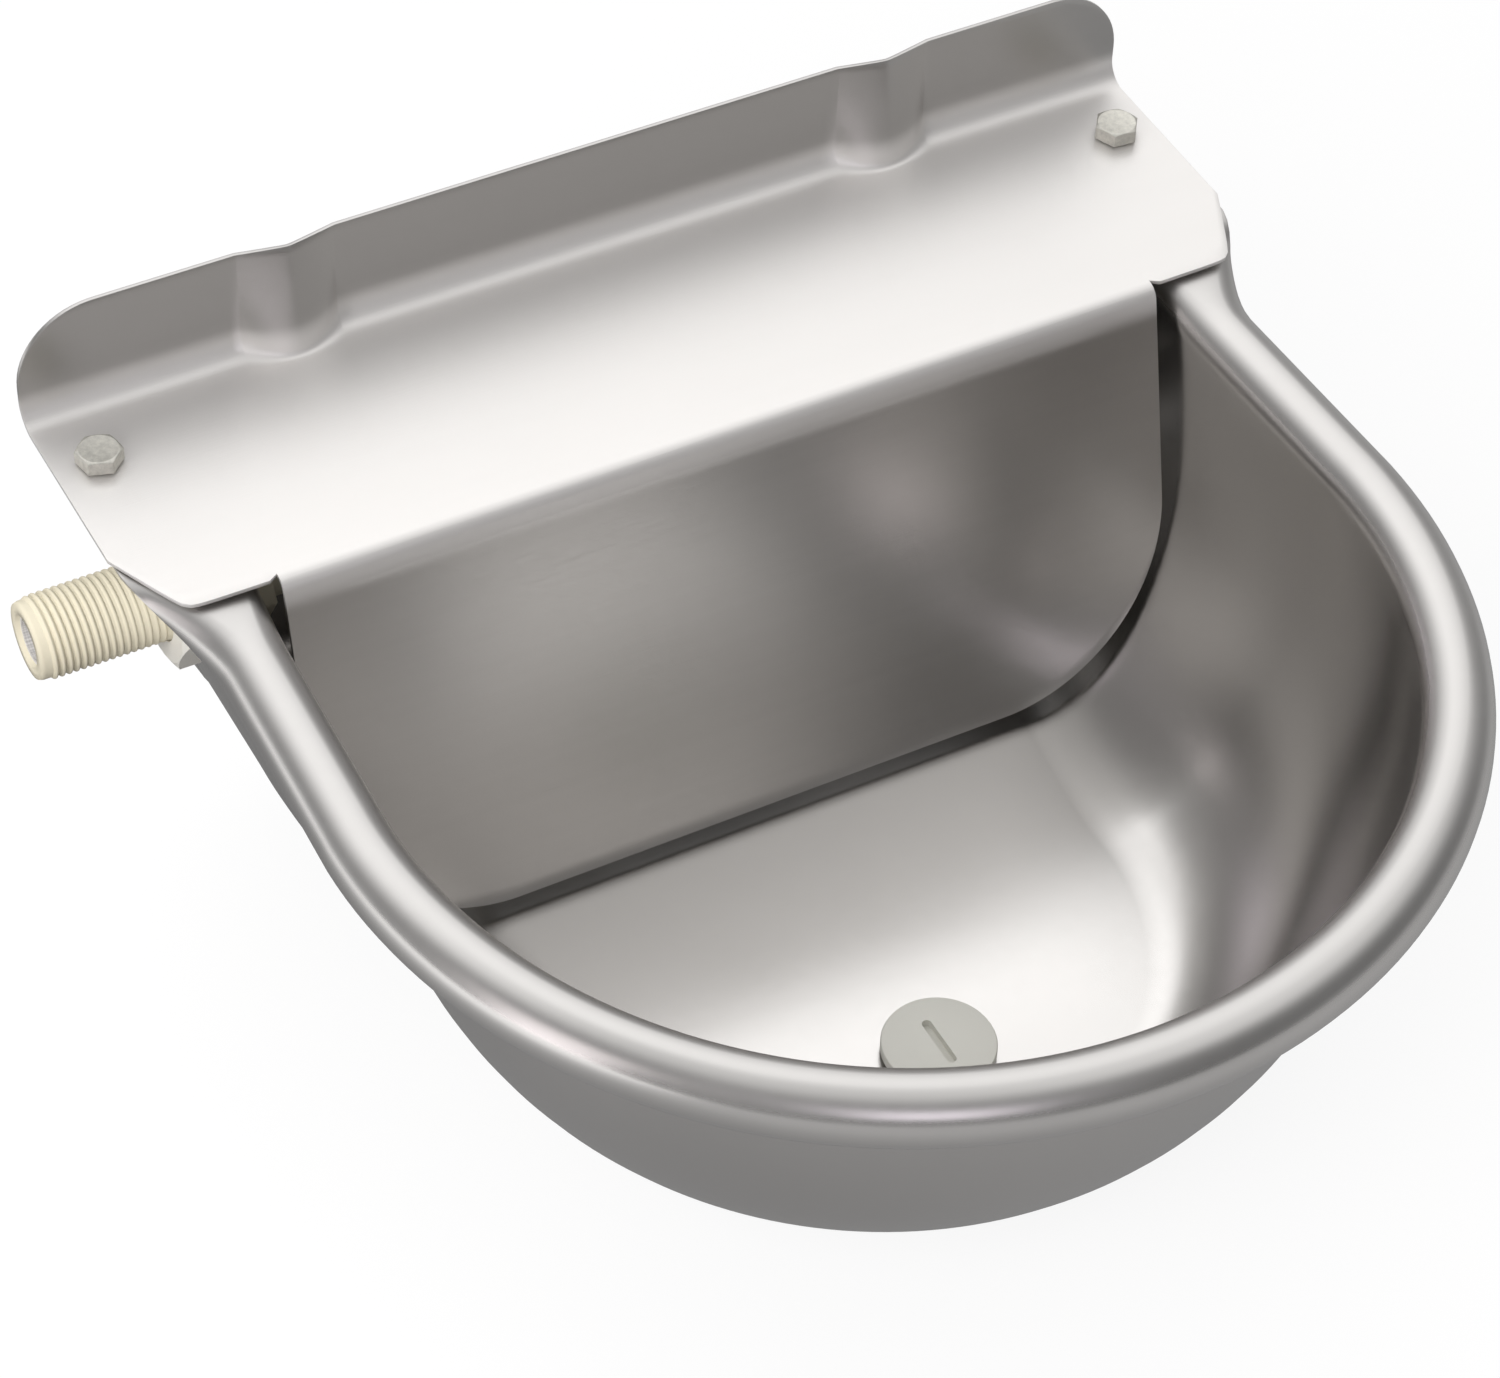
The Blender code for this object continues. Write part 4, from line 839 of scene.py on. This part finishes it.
def cover_section(sizes, x, has_apron):
    """The cover's section at x: upstand, bend, plate and, in the middle, fold and apron."""
    share = channel_share(sizes, x, 1.0)
    top = upstand_top(x, sizes.half_width, sizes.upstand)
    bend = mix(COVER_BEND, CHANNEL_FOOT, share)
    points = []
    for row in range(UPSTAND_ROWS + 1):
        part = row / UPSTAND_ROWS
        depth = sizes.channel_depth * channel_share(sizes, x, part) * mix(sizes.channel_top, 1.0, part)
        points.append((-COVER_FACE - depth, mix(top, bend, part)))
    face = COVER_FACE + share * sizes.channel_depth
    for step in range(1, BEND_STEPS):
        angle = math.pi / 2 * step / BEND_STEPS
        points.append((-face - bend * (1 - math.cos(angle)), bend * (1 - math.sin(angle))))
    start = face + bend
    front = sizes.plate if has_apron else wing_front(sizes, x)
    for row in range(PLATE_ROWS + 1):
        along = mix(start, front, (row / PLATE_ROWS) ** 1.3)
        points.append((-along, 0))
    if has_apron:
        turn = math.pi / 2 - APRON_LEAN
        for step in range(1, BEND_STEPS):
            angle = turn * step / BEND_STEPS
            points.append((-front - FOLD_RADIUS * math.sin(angle), FOLD_RADIUS * (math.cos(angle) - 1)))
        fold_y = -front - FOLD_RADIUS * math.sin(turn)
        fold_z = FOLD_RADIUS * (math.cos(turn) - 1)
        drop = apron_bottom(sizes, x) + fold_z
        for row in range(APRON_ROWS + 1):
            down = drop * row / APRON_ROWS
            points.append((fold_y - down * math.tan(APRON_LEAN), fold_z - down))
    return [Vector((x, y, z)) for y, z in points]


def closing_steps(low, high, steps):
    """Places after the first one that lie closer together towards the last."""
    return [mix(low, high, math.sin(math.pi / 2 * step / steps)) for step in range(1, steps + 1)]


def cover_places(sizes):
    """Places along X for the apron part and for the wing."""
    inner = CHANNEL_PLACE - sizes.channel_width / 2
    outer = CHANNEL_PLACE + sizes.channel_width / 2
    places = [inner * step / INNER_STEPS for step in range(INNER_STEPS)]
    places += [mix(inner, outer, step / CHANNEL_STEPS) for step in range(CHANNEL_STEPS + 1)]
    places += closing_steps(outer, sizes.apron_half_width, OUTER_STEPS)
    return places, closing_steps(sizes.apron_half_width, sizes.half_width, WING_STEPS)


class BOWL_OT_cover(bpy.types.Operator):
    """Splash cover: upstand with two channels, plate with wings, and the apron"""
    bl_idname = "bowl.cover"
    bl_label = "Splash Cover"

    def execute(self, context):
        sizes = context.scene.cover_sizes
        places, wings = cover_places(sizes)
        work = mapped_grid([cover_section(sizes, x, True) for x in places])
        root = cover_section(sizes, sizes.apron_half_width, True)[:SHARED_ROWS]
        take_in(work, mapped_grid([root] + [cover_section(sizes, x, False) for x in wings]))
        mirror_skin(work, MERGE)
        work.normal_update()
        face_up(work, max(work.faces, key=lambda face: abs(face.normal.z) * face.calc_area()))
        solid = thick_sheet(work, COVER_SHEET)
        middle = -COVER_SHEET / 2
        solid = combined(solid, [round_hole(BOLT_HOLE, side * BOLT_X, BOLT_Y, middle) for side in (-1, 1)])
        piece = add_piece("cover_sheet", solid, finishes()["sheet_steel"], "bowl", 50)
        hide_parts("splash_cover")
        return {'FINISHED'}


# Fasteners: lengths in metres

HEAD_UNDERSIDE = 0.0003
HEAD_CHAMFER = math.radians(28)
SHANK_RADIUS = 0.003
SHANK_TOP = 0.0012
SHANK_CHAMFER = 0.0006
# How far each head is turned, in degrees
HEAD_TURNS = {"left": 12, "right": 25}


def hexagon(flats, low, high):
    """A hexagonal prism along +Z."""
    work = bmesh.new()
    bmesh.ops.create_circle(work, cap_ends=True, segments=6, radius=flats / math.sqrt(3))
    bmesh.ops.translate(work, verts=work.verts, vec=(0, 0, low))
    raised = bmesh.ops.extrude_face_region(work, geom=work.faces[:])
    tops = [item for item in raised["geom"] if isinstance(item, bmesh.types.BMVert)]
    bmesh.ops.translate(work, verts=tops, vec=(0, 0, high - low))
    bmesh.ops.recalc_face_normals(work, faces=work.faces)
    return work


def hexagon_head(flats, low, high):
    """A hexagon bolt head with a turned chamfer and a washer face."""
    corner = flats / math.sqrt(3) + 0.0004
    drop = (corner - flats / 2) * math.tan(HEAD_CHAMFER)
    lathe = turned([(0, low - 0.0001), (flats * 0.48, low - 0.0001), (flats * 0.48, low + 0.0003),
                    (corner, low + 0.0003), (corner, high - drop), (flats * 0.47, high),
                    (flats * 0.44, high - 0.00006), (0, high - 0.00012)], 96)
    head = combined(hexagon(flats, low, high), [lathe], 'INTERSECT')
    soften(head, 0.00012, 25)
    return head


class BOWL_OT_fasteners(bpy.types.Operator):
    """Two hexagon bolts that hold the cover, with their washers and nuts"""
    bl_idname = "bowl.fasteners"
    bl_label = "Cover Fasteners"

    def execute(self, context):
        flats = context.scene.plastic_sizes.bolt_flats
        for label, turn in HEAD_TURNS.items():
            low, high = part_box("cover_bolt_" + label)
            middle = (low + high) / 2
            head = hexagon_head(flats, HEAD_UNDERSIDE, high.z)
            shank = [(0, low.z), (SHANK_RADIUS - SHANK_CHAMFER, low.z),
                     (SHANK_RADIUS, low.z + SHANK_CHAMFER), (SHANK_RADIUS, SHANK_TOP), (0, SHANK_TOP)]
            work = combined(head, [turned(shank, 48)], 'UNION')
            placed(work, Matrix.Rotation(math.radians(turn), 4, 'Z'))
            moved(work, middle.x, middle.y, 0)
            piece = add_piece("hexagon_bolt_" + label, work, finishes()["plated_steel"], "bowl", 20)
            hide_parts("cover_bolt_" + label)
            dress(["cover_washer_" + label, "cover_nut_" + label], "plated_steel")
        return {'FINISHED'}


def dress(nodes, finish):
    """Give carried-over nodes their finish."""
    for name in nodes:
        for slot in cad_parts[name].material_slots:
            slot.material = finishes()[finish]


# Inlet: lengths in metres

FLANGE_FACE = -0.1159
THREAD_CREST = 0.0104
THREAD_START = 0.0022
THREAD_END = 0.001
THREAD_EMBED = 0.0003
THREAD_STEPS = 40
# Points closer than this become one in the fine inlet
FINE_MERGE = 0.000001


def thread_coil(root, depth, pitch, start, end):
    """A helical ridge along +Z, faded out at both ends."""
    work = bmesh.new()
    half = pitch / 2
    inner = root - THREAD_EMBED
    flank = root + depth * 0.93
    corners = [(inner, -half * 0.95), (root, -half * 0.9), (flank, -half * 0.2), (root + depth, 0),
               (flank, half * 0.2), (root, half * 0.9), (inner, half * 0.95)]
    ring = [work.verts.new((radius, 0, start + height)) for radius, height in corners]
    face = work.faces.new(ring)
    turns = (end - start) / pitch
    steps = int(turns * THREAD_STEPS)
    bmesh.ops.spin(work, geom=[face] + list(face.edges) + ring, axis=(0, 0, 1), cent=(0, 0, 0),
                   dvec=(0, 0, (end - start) / steps), angle=math.tau * turns, steps=steps, use_merge=False)
    for vert in work.verts:
        radius = vert.co.xy.length
        if radius > root:
            near = min(vert.co.z - start, end - vert.co.z) / (pitch * 1.2)
            keep = smooth_step(near + 0.35)
            vert.co.xy *= (root + (radius - root) * keep) / radius
    bmesh.ops.recalc_face_normals(work, faces=work.faces)
    return work


class BOWL_OT_inlet(bpy.types.Operator):
    """Threaded inlet stem, with its lock nut, gaskets and strainer"""
    bl_idname = "bowl.inlet"
    bl_label = "Inlet"

    def execute(self, context):
        sizes = context.scene.plastic_sizes
        body = bmesh.new()
        body.from_mesh(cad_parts["inlet_body"].data)
        bmesh.ops.remove_doubles(body, verts=body.verts, dist=FINE_MERGE)
        axis = Vector(((STEM[0].y + STEM[1].y) / 2, STEM_LEVEL))
        root = THREAD_CREST - sizes.thread_depth
        for vert in body.verts:
            off = vert.co.yz - axis
            if vert.co.x < FLANGE_FACE - 0.0002 and off.length > root:
                vert.co.yz = axis + off * (root / off.length)
        coil = thread_coil(root, sizes.thread_depth, sizes.thread_pitch, STEM[0].x + THREAD_START,
                           FLANGE_FACE - THREAD_END)
        take_in(body, laid_along_x(coil, *axis))
        piece = add_piece("threaded_inlet", body, finishes()["ivory_nylon"], "bowl", 50)
        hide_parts("inlet_body")
        dress(["inlet_lock_nut"], "milky_nylon")
        dress(["inner_gasket", "outer_gasket"], "milky_silicone")
        dress(["inlet_strainer"], "wire_cloth")
        return {'FINISHED'}


class BOWL_OT_valve(bpy.types.Operator):
    """Float valve: nozzle, piston, arm, float and their fastenings"""
    bl_idname = "bowl.valve"
    bl_label = "Float Valve"

    def execute(self, context):
        dress(["valve_nozzle", "valve_piston", "float"], "white_plastic")
        dress(["piston_seal"], "black_rubber")
        dress(["float_arm"], "ivory_nylon")
        dress(["pivot_pin", "pin_clip", "float_screw", "float_washer"], "bright_steel")
        return {'FINISHED'}


# Drain: lengths in metres

PLUG_HEAD = 0.0026
PLUG_EDGE = 0.0006
PLUG_NECK = 0.008
PLUG_TIP = 0.001
PLUG_SLOT = (0.0024, 0.0142, 0.0042)
PLUG_SLOT_ROUNDING = 0.00118


class BOWL_OT_drain(bpy.types.Operator):
    """Slotted drain plug, with its seal, washer and nut"""
    bl_idname = "bowl.drain"
    bl_label = "Drain"

    def execute(self, context):
        low, high = PLUG
        middle = (low + high) / 2
        radius = (high.x - low.x) / 2
        top = high.z
        head = top - PLUG_HEAD
        plug = turned([(0, low.z), (PLUG_NECK - PLUG_TIP, low.z), (PLUG_NECK, low.z + PLUG_TIP),
                       (PLUG_NECK, head), (radius, head), (radius, top - PLUG_EDGE),
                       (radius - PLUG_EDGE / 3, top - PLUG_EDGE / 3), (radius - PLUG_EDGE, top),
                       (0, top)], 96)
        plug = combined(plug, [moved(long_hole(PLUG_SLOT, PLUG_SLOT_ROUNDING, 2, 6), 0, 0, top)])
        moved(plug, middle.x, middle.y, 0)
        piece = add_piece("slotted_plug", plug, finishes()["grey_plastic"], "drain_screw", 35)
        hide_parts("drain_plug")
        dress(["drain_nut"], "grey_plastic")
        dress(["drain_seal", "drain_washer"], "black_rubber")
        return {'FINISHED'}


# Stage: lengths in metres, the camera's lens in millimetres

CAMERA_AZIMUTH = math.radians(-29.912)
CAMERA_ELEVATION = math.radians(45.681)
CAMERA_ROLL = math.radians(2.628)
CAMERA_DISTANCE = 1.04093
CAMERA_TARGET = Vector((-0.036685, -0.153951, 0.0))
CAMERA_LENS = 112.856
# Brightness of the room around the bowl, and its lighter and darker patches: azimuth from +X, height
# above the horizon, full radius and outer radius in degrees, and the brightness that a patch adds
SURROUNDINGS = 0.34
SKY_PATCHES = (
    (60, 73, 27, 50, 0.50),
    (84, 34, 14, 44, 0.58),
    (352, 58, 8, 30, 0.34),
    (130, 46, 8, 24, 0.50),
    (320, 5, 20, 62, -0.14),
)
# The floor as it shows directly, and as metal mirrors it: darker near the bowl, a painted shadow in its glow,
# and darker ahead of it, measured from a centre along two directions
FLOOR_SEEN = 0.86
FLOOR_DIFFUSE = 0.16
FLOOR_NEAR = 0.10
FLOOR_CENTRE = -0.1
FLOOR_RADII = (0.12, 0.6)
FLOOR_DUSK = 0.74
FLOOR_DUSK_RUN = (-0.05, 0.25)
FLOOR_AHEAD = (0.6, -0.8, 0)
FLOOR_SIDE = (0.8, 0.6, 0)
FLOOR_GAP = 0.0005
# Lamps: name, place, the point it looks at, size, watts, colour, and whether metal mirrors it
LAMPS = (
    ("overhead", (0.45, 1.10, 1.42), (0, -0.12, 0), (1.9, 1.5), 2.4, (1, 1, 1), True),
    ("left_strip", (-1.34, -0.41, 0.36), (0, -0.15, 0), (0.45, 0.9), 2.0, (1.0, 0.93, 0.95), True),
    ("fill", (-1.2, -0.9, 1.0), (0, -0.15, 0), (1.3, 1.3), 24, (1, 1, 1), False),
    ("lilac_card", (-0.42, -1.32, 0.64), (0, 0, 0), (0.5, 0.5), 1.2, (0.97, 0.90, 1.0), True),
    ("under_cover", (0, -0.07, -0.006), (0, -0.07, -0.1), (0.2, 0.09), 0.013, (1, 1, 1), True),
)


def sky_direction(azimuth, height):
    """Unit vector of a direction given in degrees."""
    turn, rise = math.radians(azimuth), math.radians(height)
    return math.cos(turn) * math.cos(rise), math.sin(turn) * math.cos(rise), math.sin(rise)


def add_camera(scene):
    """The camera at the photograph's viewing angle."""
    back = Vector((math.sin(CAMERA_AZIMUTH) * math.cos(CAMERA_ELEVATION),
                   -math.cos(CAMERA_AZIMUTH) * math.cos(CAMERA_ELEVATION), math.sin(CAMERA_ELEVATION)))
    right = (-back).cross(Vector((0, 0, 1))).normalized()
    up = right.cross(-back)
    across = right * math.cos(CAMERA_ROLL) + up * math.sin(CAMERA_ROLL)
    over = up * math.cos(CAMERA_ROLL) - right * math.sin(CAMERA_ROLL)
    camera = bpy.data.objects.new("camera", bpy.data.cameras.new("camera"))
    scene.collection.objects.link(camera)
    camera.data.lens = CAMERA_LENS
    camera.data.sensor_width = 36.0
    camera.data.sensor_fit = 'HORIZONTAL'
    camera.data.clip_start = 0.01
    turn = Matrix((across, over, back)).transposed()
    camera.matrix_world = Matrix.Translation(CAMERA_TARGET + back * CAMERA_DISTANCE) @ turn.to_4x4()
    scene.camera = camera


def add_lamp(scene, name, place, aim, size, watts, colour, mirrored):
    """A rectangular lamp that looks at a point, and that metal mirrors unless it is a plain fill."""
    lamp = bpy.data.lights.new(name, 'AREA')
    lamp.shape = 'RECTANGLE'
    lamp.size, lamp.size_y = size
    lamp.energy = watts
    lamp.color = colour
    item = bpy.data.objects.new(name, lamp)
    scene.collection.objects.link(item)
    item.location = place
    item.visible_glossy = mirrored
    item.rotation_euler = (Vector(aim) - Vector(place)).to_track_quat('-Z', 'Y').to_euler()


def add_floor(scene):
    """Pale floor, which metal sees darker near the bowl, as a painted shadow in its glow, and darker ahead of
    it.
    """
    finish = Finish("floor")
    path = finish.node('ShaderNodeLightPath')
    mirrored = finish.value(path, 'Is Glossy Ray') + finish.value(path, 'Is Transmission Ray')
    place = finish.place()
    ahead = finish.along(place, FLOOR_AHEAD) - FLOOR_CENTRE
    side = finish.along(place, FLOOR_SIDE)
    # Painted shadow: the glow that metal mirrors is dimmer near the bowl
    away = finish.between((ahead * ahead + side * side) ** 0.5, *FLOOR_RADII)
    dusk = finish.between(ahead, *FLOOR_DUSK_RUN)
    seen = finish.value(path, 'Is Camera Ray') * FLOOR_SEEN
    seen = seen + mirrored * (away * (1 - dusk * FLOOR_DUSK) + FLOOR_NEAR)
    shader = finish.shader
    shader.inputs['Base Color'].default_value = shade(scene.bowl_colours.floor, FLOOR_DIFFUSE)
    shader.inputs['Roughness'].default_value = 1.0
    shader.inputs['Specular IOR Level'].default_value = 0.0
    shader.inputs['Emission Color'].default_value = (1, 1, 1, 1)
    finish.feed(shader.inputs['Emission Strength'], seen)
    work = bmesh.new()
    bmesh.ops.create_grid(work, x_segments=1, y_segments=1, size=4)
    moved(work, 0, 0, CAD_BOX[0][2] - FLOOR_GAP)
    add_piece("floor", work, finish.block, None)


def add_surroundings(scene):
    """A soft grey room with lighter and darker patches."""
    world = Finish("surroundings", 'world')
    background = world.tree.nodes["Background"]
    where = world.node('ShaderNodeTexCoord').outputs['Generated']
    level = SURROUNDINGS
    for azimuth, height, inner, outer, strength in SKY_PATCHES:
        toward = world.along(where, sky_direction(azimuth, height))
        patch = world.between(toward, math.cos(math.radians(outer)), math.cos(math.radians(inner)))
        level = patch * strength + level
    world.feed(background.inputs[0], level)
    background.inputs[1].default_value = 1.0
    scene.world = world.block


class BOWL_OT_stage(bpy.types.Operator):
    """Pale floor, soft light and the camera"""
    bl_idname = "bowl.stage"
    bl_label = "Stage"

    def execute(self, context):
        scene = context.scene
        scene.view_settings.view_transform = 'Standard'
        scene.cycles.max_bounces = 16
        scene.cycles.glossy_bounces = 12
        add_floor(scene)
        add_surroundings(scene)
        for lamp in LAMPS:
            add_lamp(scene, *lamp)
        add_camera(scene)
        return {'FINISHED'}


class BOWL_PT_pieces(bpy.types.Panel):
    """Sizes, colours and pieces of the drinking bowl"""
    bl_idname = "BOWL_PT_pieces"
    bl_label = "Drinking Bowl"
    bl_space_type = 'VIEW_3D'
    bl_region_type = 'UI'
    bl_category = "Drinking Bowl"

    def draw(self, context):
        for group in (context.scene.bowl_sizes, context.scene.cover_sizes, context.scene.plastic_sizes,
                      context.scene.bowl_colours):
            box = self.layout.box()
            for name in group.__annotations__:
                box.prop(group, name)
        for operator in OPERATORS:
            self.layout.operator(operator.bl_idname)


GROUPS = {
    "bowl_sizes": BowlSizes,
    "cover_sizes": CoverSizes,
    "plastic_sizes": PlasticSizes,
    "bowl_colours": BowlColours,
}
OPERATORS = (BOWL_OT_shell, BOWL_OT_cover, BOWL_OT_fasteners, BOWL_OT_inlet, BOWL_OT_valve, BOWL_OT_drain,
             BOWL_OT_stage)


def register():
    for name, group in GROUPS.items():
        bpy.utils.register_class(group)
        setattr(bpy.types.Scene, name, bpy.props.PointerProperty(type=group))
    for item in (*OPERATORS, BOWL_PT_pieces):
        bpy.utils.register_class(item)


def unregister():
    for item in (BOWL_PT_pieces, *reversed(OPERATORS)):
        bpy.utils.unregister_class(item)
    for name, group in GROUPS.items():
        delattr(bpy.types.Scene, name)
        bpy.utils.unregister_class(group)


def main():
    register()
    bpy.ops.bowl.shell()
    bpy.ops.bowl.cover()
    bpy.ops.bowl.fasteners()
    bpy.ops.bowl.inlet()
    bpy.ops.bowl.valve()
    bpy.ops.bowl.drain()
    bpy.ops.bowl.stage()


if __name__ == "__main__":
    main()
